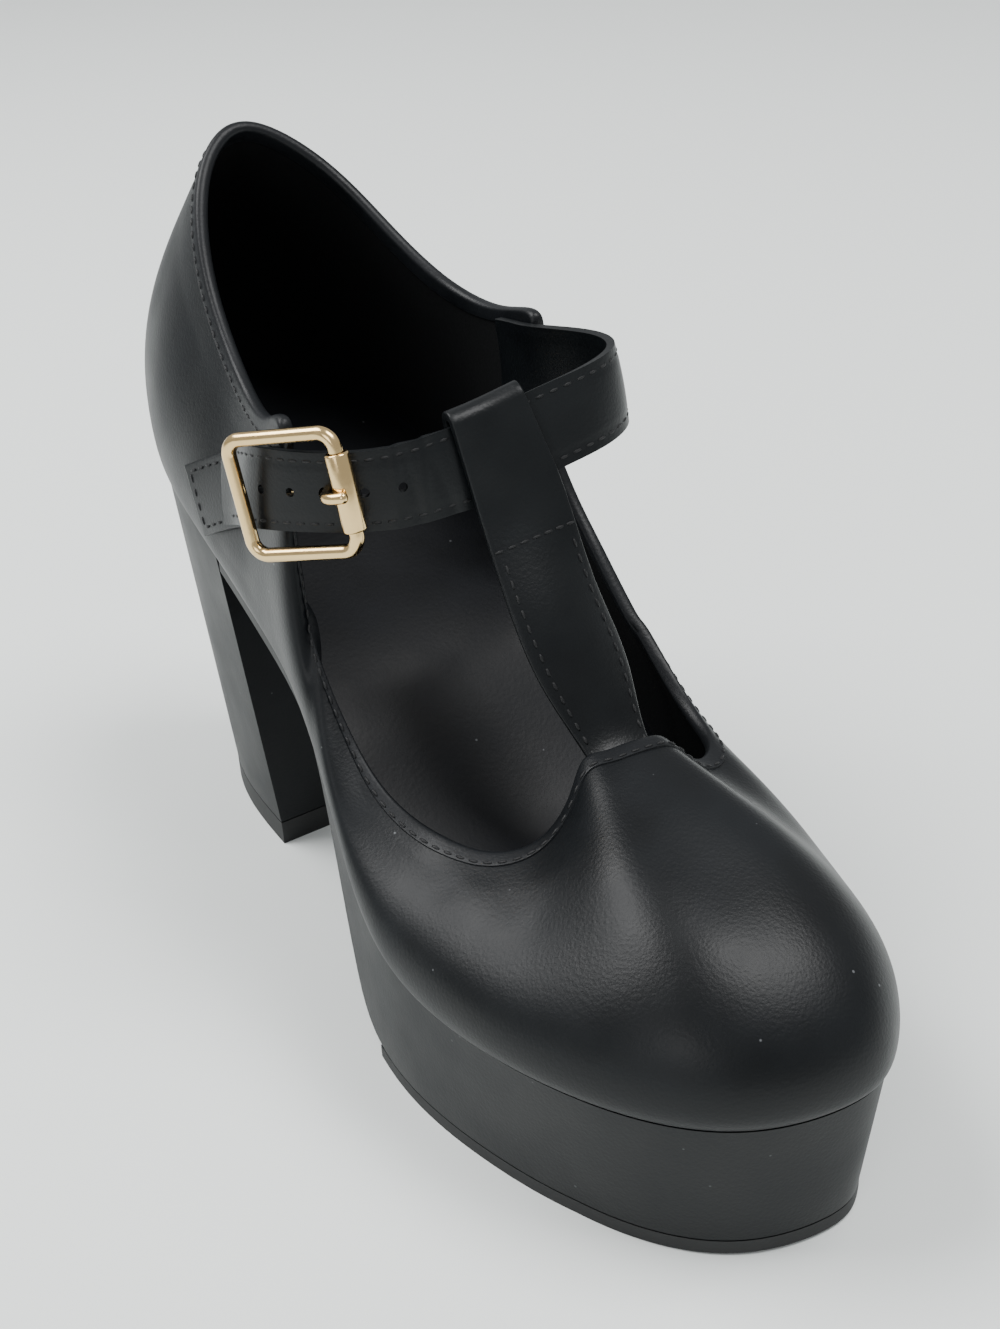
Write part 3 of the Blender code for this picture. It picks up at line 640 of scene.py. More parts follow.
# Seams
STITCH_LENGTH = 0.0021
STITCH_PITCH = 0.0029
THREAD = 0.00026
THREAD_SPREAD = 1.3
FOLD_STITCH_IN = 0.0023
STRAP_STITCH_IN = 0.0017
STITCH_SINK = 0.00016
STITCH_GROOVE = 0.0005
STRAP_CROWN = 0.00035

# Where the seams run: ribs before the lap, shares of a rib, shares of each strap's and the tab's length
LAP_SEAMS = (0.16, 0.42)
LAP_SEAM_ENDS = (0.10, 0.86)
ANKLE_SEAM_ENDS = (0.03, 0.97)
T_SEAM_ENDS = (0.10, 0.515)
TAB_SEAM_ENDS = (0.04, 0.55)
TAB_END_SEAM = 0.045

# Seam across the T-strap that shuts its loop: place, stitches, reach to each side, outward direction
LOOP_SEAM = 0.535
LOOP_STITCHES = 7
LOOP_SEAM_REACH = 0.84
LOOP_SEAM_OUT = (0.0, -0.86, 0.5)

# Closing seam of the heel's cover
HEEL_SEAM_WIDTH = 0.0012
HEEL_SEAM_LIFT = 0.0004
HEEL_SEAM_TOP = 0.14

# Punched holes of the ankle strap, counted from the one that holds the prong
HOLE_PITCH = 0.0069
HOLES = (-2, -1, 0, 1, 2)
HOLE_RADIUS = 0.0009
# The hole that holds the prong is stretched
STRETCHED = 1.6

# Creases of the upper seen from above: places as shares, width and height of each soft fold
Crease = namedtuple("Crease", "along out to_along to_out width height")
CREASES = (
    Crease(0.560, 0.425, 0.640, 0.395, 0.0060, -0.0004),
    Crease(0.630, 0.340, 0.672, 0.372, 0.0036, -0.0003),
    Crease(0.655, 0.365, 0.745, 0.325, 0.0055, 0.0003),
    Crease(0.690, 0.290, 0.760, 0.305, 0.0040, -0.0002),
    Crease(0.705, 0.245, 0.890, 0.150, 0.0080, 0.0005),
    Crease(0.735, 0.120, 0.850, 0.030, 0.0070, -0.0003),
    Crease(0.742, -0.040, 0.742, 0.060, 0.0045, -0.0003),
    Crease(0.730, -0.180, 0.800, -0.240, 0.0060, -0.0003),
    Crease(0.340, 0.330, 0.300, 0.340, 0.0070, -0.0005),
    Crease(0.210, 0.250, 0.120, 0.230, 0.0080, -0.0006),
    Crease(0.230, -0.300, 0.120, -0.240, 0.0080, -0.0006),
)
CREASE_FADE = 0.18

# The upper's lower edge turns under towards the sole: how far, and over which share of a rib
TUCK = 0.0011
TUCK_SHARE = 0.022

# The sock's edge ends inside the wall, this far in from the sole line
SOCK_INSET = 0.00125

# Turn of the sole line that the platform keeps clear of the heel's breast
BREAST_JOINT = 0.003

# Lap of the vamp over the inner quarter
LAP_RING = 26.6
LAP_HEIGHT = 0.0006
LAP_FADE = 2.2
LAP_SHARPNESS = 0.05
LAP_FOOT = 0.05

# Wrinkles of the ankle strap: distance from the buckle's centre, lean across the strap, height
Wrinkle = namedtuple("Wrinkle", "distance lean height")
WRINKLES = (
    Wrinkle(0.0185, 0.12, 0.00034),
    Wrinkle(0.0212, -0.10, -0.00030),
    Wrinkle(0.0238, 0.20, 0.00040),
    Wrinkle(0.0266, -0.16, -0.00028),
    Wrinkle(0.0300, 0.10, 0.00030),
    Wrinkle(0.0348, -0.22, -0.00022),
)
WRINKLE_WIDTH = 0.0012

# Leather: shine of its coat, size and range of its cloudy tone, pores as a share of the grain
LEATHER_IOR = 1.46
LEATHER_SHINE = 0.26
CLOUD = 0.022
TONE_RANGE = (0.30, 0.72)
PORES = 0.45

# Dust flecks: pitch, where their edge and core lie, how rare and how pale they are
FLECK_PITCH = 0.0042
FLECK_EDGE = 0.075
FLECK_CORE = 0.045
FLECK_RARITY = 0.80
FLECK_COLOUR = "9a9da0"

# Lamps aimed at the shoe: side lengths in metres, power in watts
Lamp = namedtuple("Lamp", "name place size power")
LAMPS = (
    Lamp("window_light", (-0.7, 0.7, 1.4), 1.0, 32.0),
    Lamp("ceiling_light", (0.5, -0.5, 1.7), 0.8, 26.0),
    Lamp("fill_light", (-1.3, -0.8, 0.8), 0.7, 5.0),
)
ROOM_STRENGTH = 0.62
FLOOR_HALF = 6.0

# Camera: place and aim in the last's axes, roll of the picture, lens on a 36 mm sensor
CAMERA_PLACE = (-0.1619, -0.2644, 0.2482)
CAMERA_AIM = (0.4598, 0.7317, -0.5033)
CAMERA_ROLL = -3.3
LENS = 47.3


def frame_shift():
    """From the last's axes to the frame's, read off the insole's box."""
    along, out, _ = sole_line(np.linspace(0, 2, 1441), WALL + 2 * GAP)
    low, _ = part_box("insole")
    return Vector((low.x + out.max(), low.y - LENGTH * (0.5 - along.max()), 0.0))


SHIFT = frame_shift()


def linear(hex_colour):
    """An sRGB hex colour as the linear colour that a shader takes."""
    parts = [int(hex_colour[i : i + 2], 16) / 255 for i in (0, 2, 4)]
    return (*[c / 12.92 if c <= 0.04045 else ((c + 0.055) / 1.055) ** 2.4 for c in parts], 1.0)


def add_node(tree, kind, settings=(), links=()):
    """Adds a node with its settings, by input or by property, and its links by input."""
    node = tree.nodes.new(kind)
    for key, value in dict(settings).items():
        if isinstance(key, str) and hasattr(node, key):
            setattr(node, key, value)
        else:
            node.inputs[key].default_value = value
    for key, source in dict(links).items():
        tree.links.new(source, node.inputs[key])
    return node


def start_material(name, hex_colour, roughness, metallic=0.0):
    """A material, its node tree, its shader and the place on the piece that patterns follow."""
    made = bpy.data.materials.new(name)
    made.use_nodes = True
    shader = made.node_tree.nodes["Principled BSDF"]
    shader.inputs["Base Color"].default_value = linear(hex_colour)
    shader.inputs["Roughness"].default_value = roughness
    shader.inputs["Metallic"].default_value = metallic
    place_on = add_node(made.node_tree, "ShaderNodeTexCoord").outputs["Object"]
    return made, made.node_tree, shader, place_on


def noise(tree, spot, size, detail):
    """Cloudy noise whose features are about as large as size."""
    settings = {"Scale": 1 / size, "Detail": detail}
    return add_node(tree, "ShaderNodeTexNoise", settings, {"Vector": spot}).outputs["Fac"]


def ranged(tree, value, start, stop, first, last):
    """A value between start and stop as its like between first and last."""
    settings = {"From Min": start, "From Max": stop, "To Min": first, "To Max": last}
    return add_node(tree, "ShaderNodeMapRange", settings, {"Value": value}).outputs["Result"]


def emboss(tree, shader, height, strength, relief):
    """Lets a pattern stand out on the shader's face."""
    bump = add_node(tree, "ShaderNodeBump", {"Strength": strength, "Distance": relief}, {"Height": height})
    tree.links.new(bump.outputs["Normal"], shader.inputs["Normal"])


def math_node(tree, operation, first, second):
    """Joins a value with another one, which may be a plain number."""
    plain = isinstance(second, float)
    settings = {"operation": operation, 1: second} if plain else {"operation": operation}
    links = {0: first} if plain else {0: first, 1: second}
    return add_node(tree, "ShaderNodeMath", settings, links).outputs["Value"]


def dusted(tree, spot, colour, dust):
    """The colour with a few pale flecks, which show as much as dust says."""
    settings = {"Scale": 1 / FLECK_PITCH, "Randomness": 1.0}
    flecks = add_node(tree, "ShaderNodeTexVoronoi", settings, {"Vector": spot})
    near = ranged(tree, flecks.outputs["Distance"], FLECK_EDGE, FLECK_CORE, 0.0, dust)
    chance = add_node(tree, "ShaderNodeSeparateColor", links={"Color": flecks.outputs["Color"]})
    few = math_node(tree, "GREATER_THAN", chance.outputs["Red"], FLECK_RARITY)
    shown = math_node(tree, "MULTIPLY", near, few)
    fleck = add_node(tree, "ShaderNodeMix", {"data_type": "RGBA"}, {0: shown, 6: colour})
    fleck.inputs[7].default_value = linear(FLECK_COLOUR)
    return fleck.outputs[2]


def coated_leather(name, dark, light, roughness, grain, relief, dust=0.0):
    """Synthetic leather: an embossed pebble grain under a satin coat, with faint cloudy tone.

    grain is the size of its pebbles and relief their height.
    """
    made, tree, shader, spot = start_material(name, dark, roughness)
    shader.inputs["IOR"].default_value = LEATHER_IOR
    shader.inputs["Specular IOR Level"].default_value = LEATHER_SHINE
    cloud = noise(tree, spot, CLOUD, detail=4.0)
    tone = add_node(tree, "ShaderNodeValToRGB", links={"Fac": cloud})
    for end, place_of, shade in zip(tone.color_ramp.elements, TONE_RANGE, (dark, light)):
        end.position = place_of
        end.color = linear(shade)
    colour = tone.outputs["Color"]
    if dust:
        colour = dusted(tree, spot, colour, dust)
    tree.links.new(colour, shader.inputs["Base Color"])
    uneven = ranged(tree, cloud, 0.3, 0.7, roughness - 0.05, roughness + 0.07)
    tree.links.new(uneven, shader.inputs["Roughness"])
    settings = {"Scale": 1 / grain, "feature": "SMOOTH_F1", "Smoothness": 0.5}
    pebbles = add_node(tree, "ShaderNodeTexVoronoi", settings, {"Vector": spot})
    pores = noise(tree, spot, PORES * grain, detail=3.0)
    height = math_node(tree, "ADD", pebbles.outputs["Distance"], pores)
    emboss(tree, shader, height, strength=0.55, relief=relief)
    return made


def rubber(name, hex_colour):
    """Moulded rubber: dull, with a fine sandy face."""
    made, tree, shader, spot = start_material(name, hex_colour, roughness=0.62)
    sand = noise(tree, spot, size=0.0007, detail=4.0)
    emboss(tree, shader, sand, strength=0.5, relief=0.00008)
    return made


def lining_cloth(name, hex_colour):
    """Brushed lining: nearly black, with a short nap that takes no highlight."""
    made, tree, shader, spot = start_material(name, hex_colour, roughness=0.85)
    shader.inputs["Specular IOR Level"].default_value = 0.15
    nap = noise(tree, spot, size=0.0009, detail=5.0)
    emboss(tree, shader, nap, strength=0.6, relief=0.00015)
    return made


def plated_metal(name, hex_colour):
    """Pale gold plating on cast zinc: polished, with hairlines that blur the highlight a little."""
    made, tree, shader, spot = start_material(name, hex_colour, roughness=0.16, metallic=1.0)
    hairlines = noise(tree, spot, size=0.0012, detail=5.0)
    worn = ranged(tree, hairlines, 0.35, 0.7, 0.12, 0.24)
    tree.links.new(worn, shader.inputs["Roughness"])
    emboss(tree, shader, hairlines, strength=0.15, relief=0.00004)
    return made


def thread(name, hex_colour):
    """Bonded polyester thread: soft shine, with the twist of its plies."""
    made, tree, shader, spot = start_material(name, hex_colour, roughness=0.5)
    shader.inputs["Specular IOR Level"].default_value = 0.35
    settings = {"Scale": 1 / 0.0005, "Distortion": 1.0}
    twist = add_node(tree, "ShaderNodeTexWave", settings, {"Vector": spot})
    emboss(tree, shader, twist.outputs["Fac"], strength=0.4, relief=0.00006)
    return made


# Leathers: name, dark and light tone, roughness, grain, relief and dust
UPPER_LEATHER = coated_leather("satin_upper_leather", "07090b", "0e1114", 0.40, 0.0007, 0.00005, 0.30)
FOLD_LEATHER = coated_leather("folded_edge_leather", "0c0e10", "16181b", 0.40, 0.0007, 0.00005)
STRAP_LEATHER = coated_leather("strap_leather", "07090b", "0f1214", 0.36, 0.0007, 0.00005)
WRAP_LEATHER = coated_leather("sole_wrap_leather", "06080a", "0c0f12", 0.46, 0.0008, 0.00004, 0.15)
SOCK_LEATHER = coated_leather("insole_leather", "08090b", "0f1115", 0.46, 0.0009, 0.00004, 0.25)
LINING = lining_cloth("dark_lining", "060708")
OUTSOLE_RUBBER = rubber("outsole_rubber", "0b0c0d")
BUCKLE_METAL = plated_metal("pale_gold_plating", "e3c48d")
THREAD_BLACK = thread("dark_thread", "0d0e10")


def grid(across, up, function):
    """A sheet of quads, whose points are function(u, v) with u and v from 0 to 1."""
    sheet = bmesh.new()
    bmesh.ops.create_grid(sheet, x_segments=across, y_segments=up, size=0.5)
    spots = np.array([vert.co[:2] for vert in sheet.verts]) + 0.5
    for vert, point in zip(sheet.verts, function(spots[:, 0], spots[:, 1])):
        vert.co = point
    return sheet


def weld(sheet):
    """Joins the points that lie on each other."""
    bmesh.ops.remove_doubles(sheet, verts=sheet.verts, dist=1e-6)


def put(name, data):
    """A new object of the data in the scene."""
    made = bpy.data.objects.new(name, data)
    bpy.context.scene.collection.objects.link(made)
    return made


def finish(name, sheet, materials, nodes=(), sharp=35):
    """Makes the finished piece, moves its mesh to the frame and hides the solids it stands for."""
    mesh = bpy.data.meshes.new(name)
    sheet.to_mesh(mesh)
    sheet.free()
    mesh.transform(Matrix.Translation(SHIFT))
    for material in materials:
        mesh.materials.append(material)
    mesh.shade_smooth()
    mesh.set_sharp_from_angle(angle=radians(sharp))
    piece = put(name, mesh)
    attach(piece, "root")
    if nodes:
        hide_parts(*nodes)
    return piece


def thicken(piece, thickness, inner_slot=0):
    """Gives a sheet its thickness on its inner side, where it may have another material."""
    wall = piece.modifiers.new("wall", "SOLIDIFY")
    wall.thickness = thickness
    wall.offset = -1.0
    wall.use_even_offset = True
    wall.use_quality_normals = True
    wall.material_offset = inner_slot


def soften(piece, width, segments=3, angle=40):
    """Rounds the sharp edges, as a wrapped or trimmed edge has them."""
    edge = piece.modifiers.new("edge", "BEVEL")
    edge.width = width
    edge.segments = segments
    edge.limit_method = "ANGLE"
    edge.angle_limit = radians(angle)
    edge.harden_normals = False


def face_towards(sheet, outward):
    """Turns a sheet's faces over where their middle one looks against the outward direction."""
    sheet.faces.ensure_lookup_table()
    sheet.normal_update()
    middle = sheet.faces[len(sheet.faces) // 2]
    if middle.normal.dot(Vector(outward(middle.calc_center_median()))) < 0:
        bmesh.ops.reverse_faces(sheet, faces=sheet.faces)


def slab(top, bottom, turns):
    """A closed piece between two faces over the same run of the sole line."""
    start, stop = turns
    solid = grid(SLAB_TURNS, SLAB_CROSS, lambda u, v: top(start + (stop - start) * u, v))
    under = grid(SLAB_TURNS, SLAB_CROSS, lambda u, v: bottom(start + (stop - start) * u, v))
    below = {tuple(vert.co): twin.co.copy() for vert, twin in zip(solid.verts, under.verts)}
    under.free()
    grown = bmesh.ops.extrude_face_region(solid, geom=list(solid.faces), use_keep_orig=True)
    for item in grown["geom"]:
        if isinstance(item, bmesh.types.BMVert):
            item.co = below[tuple(item.co)]
    weld(solid)
    bmesh.ops.recalc_face_normals(solid, faces=solid.faces)
    return solid


def creases(ring, climb):
    """How far the soft folds, the lap and the tuck lift or sink the upper's face."""
    points = rib_point(ring, climb)
    spots = np.stack([LENGTH * 0.5 - points[:, 1], -points[:, 0]], -1)
    lift = np.zeros(len(points))
    for fold in CREASES:
        start = np.array([fold.along * LENGTH, fold.out * WIDTH_UNIT])
        run = np.array([fold.to_along * LENGTH, fold.to_out * WIDTH_UNIT]) - start
        share = np.clip((spots - start) @ run / (run @ run), 0, 1)
        gap = np.linalg.norm(spots - start - share[:, None] * run, axis=1)
        lift += fold.height * np.exp(-((gap / fold.width) ** 2))
    fade = np.clip((1 - climb) / CREASE_FADE, 0, 1) * np.clip(climb / CREASE_FADE, 0, 1)
    past = LAP_RING - np.asarray(ring)
    lap = LAP_HEIGHT / (1 + np.exp(np.clip(-past / LAP_SHARPNESS, -50, 50)))
    lap *= np.exp(-((np.clip(past, 0, None) / LAP_FADE) ** 2)) * np.clip(climb / LAP_FOOT, 0, 1)
    tuck = TUCK * np.exp(-np.asarray(climb) / TUCK_SHARE)
    return lift * fade + lap - tuck


def upper_face(ring, climb, offset=0.0):
    """The upper's outer face with its relief, or a point off it."""
    return face_out(ring, climb, offset + creases(ring, climb))


def make_upper():
    """One wall from the sole line up to the opening's edge, lined on its inner side."""

    def wall(u, v):
        return upper_face(u * len(RIBS), v - CROWDING * np.sin(2 * pi * v))

    sheet = grid(UPPER_RINGS, UPPER_CLIMBS, wall)
    weld(sheet)
    piece = finish("upper_shell", sheet, [UPPER_LEATHER, LINING], ["upper"])
    thicken(piece, WALL, inner_slot=1)


def edge_spot(ring, below, offset):
    """A point at a distance below the opening's edge, or above it with a minus sign, off the face."""
    step = 1e-3
    ring = np.asarray(ring, float)
    top = np.ones_like(ring)
    rise = (rib_point(ring, top) - rib_point(ring, top - step)) / step
    reach = np.linalg.norm(rise, axis=-1)
    climb = 1 - np.clip(below, 0, None) / reach
    above = np.clip(-np.asarray(below) * top, 0, None)
    return upper_face(ring, climb, offset) + rise / reach[:, None] * above[:, None]


def make_edge_fold():
    """The folded band that binds the edge of collar and cut-outs, over the wall's rim."""
    radius = WALL / 2 + FOLD_LIFT
    outer = [(FOLD_WIDTH, -FOLD_LIP), (FOLD_WIDTH - FOLD_LIP / 2, FOLD_LIFT * FOLD_FLATNESS)]
    outer += [(FOLD_WIDTH * share, FOLD_LIFT) for share in (0.75, 0.5, 0.25)]
    angles = np.linspace(0, pi, FOLD_ARC_STEPS)
    bulge = radius * FOLD_FLATNESS
    over = [(-bulge * sin(angle), -WALL / 2 + radius * cos(angle)) for angle in angles]
    inner = [(below, -WALL - offset) for below, offset in reversed(outer)]
    profile = np.array(outer + over + inner)

    def band(u, v):
        step = np.round(v * (len(profile) - 1)).astype(int)
        return edge_spot(u * len(RIBS), profile[step, 0], profile[step, 1])

    sheet = grid(UPPER_RINGS, len(profile) - 1, band)
    weld(sheet)
    face_towards(sheet, lambda spot: (0, 0, 1))
    finish("edge_fold", sheet, [FOLD_LEATHER], sharp=60)


def stitch_places(line, first=0.0, last=1.0):
    """Places, run and outward directions at the stitch pitch on line(shares, distance off)."""
    shares = np.linspace(first, last, SEAM_SAMPLES)
    lengths = run_lengths(line(shares, 0.0))
    count = int(lengths[-1] // STITCH_PITCH)
    middles = (np.arange(count) + 0.5) * lengths[-1] / count
    at = np.interp(middles, lengths, shares)
    step = 1e-4
    spots = line(at, 0.0)
    runs = line(at + step, 0.0) - line(at - step, 0.0)
    away = line(at, 1e-3) - spots
    return spots, runs, away


def make_stitches(name, rows):
    """Short sewn stitches, each a slim bead of thread half sunk in the leather."""
    sewn = bmesh.new()
    for spots, runs, aways in rows:
        for spot, run, away in zip(spots, runs, aways):
            along = Vector(run).normalized()
            out = Vector(away)
            out = (out - along * out.dot(along)).normalized()
            turn = Matrix((along, out.cross(along), out)).transposed().to_4x4()
            size = Matrix.Diagonal((STITCH_LENGTH / 2, THREAD * THREAD_SPREAD, THREAD, 1))
            at = Matrix.Translation(spot) @ turn @ size
            bmesh.ops.create_uvsphere(sewn, u_segments=6, v_segments=5, radius=1, matrix=at)
    finish(name, sewn, [THREAD_BLACK], sharp=80)


def fold_seam():
    """Stitches of the folded edge, once round the whole opening."""

    def line(at, off):
        return edge_spot(at * len(RIBS), FOLD_STITCH_IN, FOLD_LIFT + off)

    return stitch_places(line)


def lap_seam(shift):
    """Stitches beside the vamp's lap on the inner side, from the cut-out down to the sole."""

    def line(at, off):
        return upper_face(LAP_RING - shift + 0 * at, at, off)

    return stitch_places(line, *LAP_SEAM_ENDS)


def make_insole():
    """The sock's edge runs into the wall, so that no light comes through along it."""

    def level(lift):
        def face(turn, side):
            return across_sole(turn, side, SOCK_INSET, lambda along: bed_height(along) + lift)

        return face

    sheet = slab(level(GAP + INSOLE), level(GAP), (0, 1))
    piece = finish("insole_sock", sheet, [SOCK_LEATHER], ["insole"])
    soften(piece, SOCK_EDGE)


def make_platform():
    """The wrapped platform, which thins out to the shank under the arch."""
    foot = OUTSOLE + GAP

    def top(turn, side):
        return across_sole(turn, side, SOLE_INSET, lambda along: bed_height(along) - GAP)

    def bottom(turn, side):
        points = across_sole(turn, side, SOLE_INSET, sole_underside)
        depth = (PLATFORM_HEIGHT - points[:, 2]) / (PLATFORM_HEIGHT - foot)
        points[:, :2] = tapered(turn, side, depth)[:, :2]
        return points

    sheet = slab(top, bottom, (turn_at(BREAST) + BREAST_JOINT, 1))
    piece = finish("platform_wrap", sheet, [WRAP_LEATHER], ["platform"])
    soften(piece, PLATFORM_EDGE)


def make_outsole():
    """The outsole under the forefoot, from where the sole comes down to it."""

    def level(height):
        def face(turn, side):
            points = tapered(turn, side, 1.0 + 0 * turn)
            points[:, 2] = spring(0.5 - points[:, 1] / LENGTH) + height
            return points

        return face

    sheet = slab(level(OUTSOLE), level(0.0), (turn_at(UNDERSIDE[-2].along), 1))
    piece = finish("outsole_plate", sheet, [OUTSOLE_RUBBER], ["outsole"])
    soften(piece, OUTSOLE_EDGE, segments=2)


def make_heel():
    """The wrapped heel block and its top lift."""
    turns = (0, turn_at(BREAST))

    def level(depth, height):
        return lambda turn, side: heel_section(turn, side, depth, height)

    seat = level(0.0, lambda along: bed_height(along) - GAP)
    foot = level(1.0, lambda along: 0 * along + TOP_LIFT + GAP)
    block = finish("heel_wrap", slab(seat, foot, turns), [WRAP_LEATHER], ["heel_block"])
    soften(block, HEEL_EDGE)
    joint = level(1.0, lambda along: 0 * along + TOP_LIFT)
    ground = level(1.0, on_floor)
    sheet = slab(joint, ground, turns)
    lift = finish("heel_top_lift", sheet, [OUTSOLE_RUBBER], ["heel_tip"])
    soften(lift, OUTSOLE_EDGE, segments=2)


def make_heel_seam():
    """The closing seam of the heel's cover, a low ridge down the middle of the breast."""

    def ridge(u, v):
        turn = turn_at(BREAST) + 0 * u
        middle = heel_section(turn, 0.5 + 0 * u, 0.0, lambda along: bed_height(along) - GAP)
        foot = heel_section(turn, 0.5 + 0 * u, 1.0, lambda along: 0 * along + TOP_LIFT)
        drop = HEEL_SEAM_TOP + (1 - HEEL_SEAM_TOP) * u
        points = middle + (foot - middle) * drop[:, None]
        points[:, 0] += (v - 0.5) * HEEL_SEAM_WIDTH
        points[:, 1] -= HEEL_SEAM_LIFT * (np.sin(pi * v) - 0.25)
        return points

    sheet = grid(across=60, up=8, function=ridge)
    face_towards(sheet, lambda spot: (0, -1, 0))
    finish("heel_seam", sheet, [WRAP_LEATHER], sharp=80)


def groove(across, width):
    """How deep the seams press into a band of a width."""
    seam = width / 2 - STRAP_STITCH_IN
    return STITCH_SINK * np.exp(-(((np.abs(across) - seam) / STITCH_GROOVE) ** 2))


def strap_lift(distance, across):
    """Crown, pressed seams and wrinkles of the ankle strap's face."""
    lift = STRAP_CROWN * (1 - (2 * across / STRAP_WIDTH) ** 2) - groove(across, STRAP_WIDTH)
    for fold in WRINKLES:
        gap = distance - fold.distance - fold.lean * across
        lift += fold.height * np.exp(-((gap / WRINKLE_WIDTH) ** 2))
    return lift


def ankle_face(share, across, offset):
    """A point off the ankle strap's outer face, at a distance across from its middle."""
    line, length = strap_line()
    distance = (share - BUCKLE_PLACE) * length
    return off_band(line, share, across, STRAP / 2 + strap_lift(distance, across) + offset)


def make_ankle_strap():
    """The ankle strap with its punched holes."""

    def face(u, v):
        return ankle_face(u, (v - 0.5) * STRAP_WIDTH, -STRAP_CROWN / 2)

    sheet = grid(STRAP_RUNS, STRAP_CROSS, face)
    face_towards(sheet, lambda spot: (spot.x, spot.y - 0.02, spot.z - 0.1))
    piece = finish("ankle_strap_band", sheet, [STRAP_LEATHER], ["ankle_strap"])
    thicken(piece, STRAP - STRAP_CROWN / 2)
    drill = bmesh.new()
    for count in HOLES:
        centre = strap_spot(prong_hole_spot() + count * HOLE_PITCH, 0)
        away = strap_spot(prong_hole_spot() + count * HOLE_PITCH, 1) - centre
        turn = away.to_track_quat("Z", "Y").to_matrix().to_4x4()
        radius = HOLE_RADIUS * (STRETCHED if count == 0 else 1)
        bmesh.ops.create_cone(
            drill,
            cap_ends=True,
            segments=20,
            radius1=radius,
            radius2=radius,
            depth=4 * STRAP,
            matrix=Matrix.Translation(centre) @ turn,
        )
    cut_out(piece, drill)
    soften(piece, STRAP_EDGE, segments=2, angle=50)


def cut_out(piece, drill):
    """Cuts the drill's shape out of the piece for good."""
    mesh = bpy.data.meshes.new("drill")
    drill.to_mesh(mesh)
    drill.free()
    mesh.transform(Matrix.Translation(SHIFT))
    cutter = put("drill", mesh)
    cut = piece.modifiers.new("holes", "BOOLEAN")
    cut.operation = "DIFFERENCE"
    cut.object = cutter
    graph = bpy.context.evaluated_depsgraph_get()
    done = bpy.data.meshes.new_from_object(piece.evaluated_get(graph))
    piece.modifiers.clear()
    piece.data = done
    done.set_sharp_from_angle(angle=radians(40))
    bpy.data.objects.remove(cutter)


def ankle_seam(side):
    """Stitches along one edge of the ankle strap."""
    across = side * (STRAP_WIDTH / 2 - STRAP_STITCH_IN)

    def line(at, off):
        return ankle_face(at, across, off - STRAP_CROWN / 2)

    return stitch_places(line, *ANKLE_SEAM_ENDS)


@cache
def t_strap_lines():
    """Distances of the T-strap's rows along it, and a line for each column across it."""
    spans = run_lengths(t_strap_row(0.0))
    shifts = np.linspace(-1, 1, STRAP_CROSS + 1)
    return spans, [smooth_line(spans, t_strap_row(shift)) for shift in shifts]


def t_strap_face(share, shift):
    """A point of the T-strap's outer face."""
    spans, _ = t_strap_lines()
    return smooth_line(spans, t_strap_row(shift))(share * spans[-1])


def make_t_strap():
    """The T-strap from under the vamp, over the ankle strap and down behind it."""
    spans, lines = t_strap_lines()

    def face(u, v):
        column = np.round(v * STRAP_CROSS).astype(int)
        points = np.zeros((len(u), 3))
        for index, line in enumerate(lines):
            chosen = column == index
            points[chosen] = line(u[chosen] * spans[-1])
        return points

    sheet = grid(STRAP_RUNS, STRAP_CROSS, face)
    face_towards(sheet, lambda spot: (0, 0, 1))
    piece = finish("t_strap_band", sheet, [STRAP_LEATHER], ["t_strap"])
    thicken(piece, STRAP)
    soften(piece, T_STRAP_EDGE, segments=2, angle=50)


def t_seam(side):
    """Stitches along one edge of the T-strap, below its loop."""
    shift = side * (1 - 2 * STRAP_STITCH_IN / T_STRAP_WIDTH)
    inner = shift - side * 0.02

    def line(at, off):
        here = t_strap_face(at, shift)
        across = (t_strap_face(at, inner) - here) * -side
        run = t_strap_face(at + 1e-3, shift) - t_strap_face(at - 1e-3, shift)
        return here - unit(np.cross(across, run)) * off

    return stitch_places(line, *T_SEAM_ENDS)


def loop_seam():
    """The row of stitches across the T-strap that holds its loop shut."""
    shifts = np.linspace(-LOOP_SEAM_REACH, LOOP_SEAM_REACH, LOOP_STITCHES)
    spots = np.array([t_strap_face(LOOP_SEAM, shift)[0] for shift in shifts])
    return spots, np.gradient(spots, axis=0), [LOOP_SEAM_OUT] * LOOP_STITCHES


def make_buckle_tab():
    """The tab under the buckle; gives back its rows of stitches."""
    line, _ = band_line(seat_rows(TAB_SEAT, TAB_RING, GAP + TAB))

    inside = TAB_WIDTH / 2 - STRAP_STITCH_IN

    def face(u, v):
        across = (v - 0.5) * TAB_WIDTH
        return off_band(line, u, across, -groove(across, TAB_WIDTH))

    def edge_row(side):
        return stitch_places(lambda at, off: off_band(line, at, side * inside, off), *TAB_SEAM_ENDS)

    def end(at, off):
        return off_band(line, TAB_END_SEAM + 0 * at, (2 * at - 1) * inside, off)

    sheet = grid(TAB_RUNS, STRAP_CROSS, face)
    face_towards(sheet, lambda spot: (-1, 0, 0))
    piece = finish("tab_patch", sheet, [STRAP_LEATHER], ["buckle_tab"])
    thicken(piece, TAB)
    soften(piece, STRAP_EDGE, segments=2, angle=50)
    return [edge_row(-1), edge_row(1), stitch_places(end)]


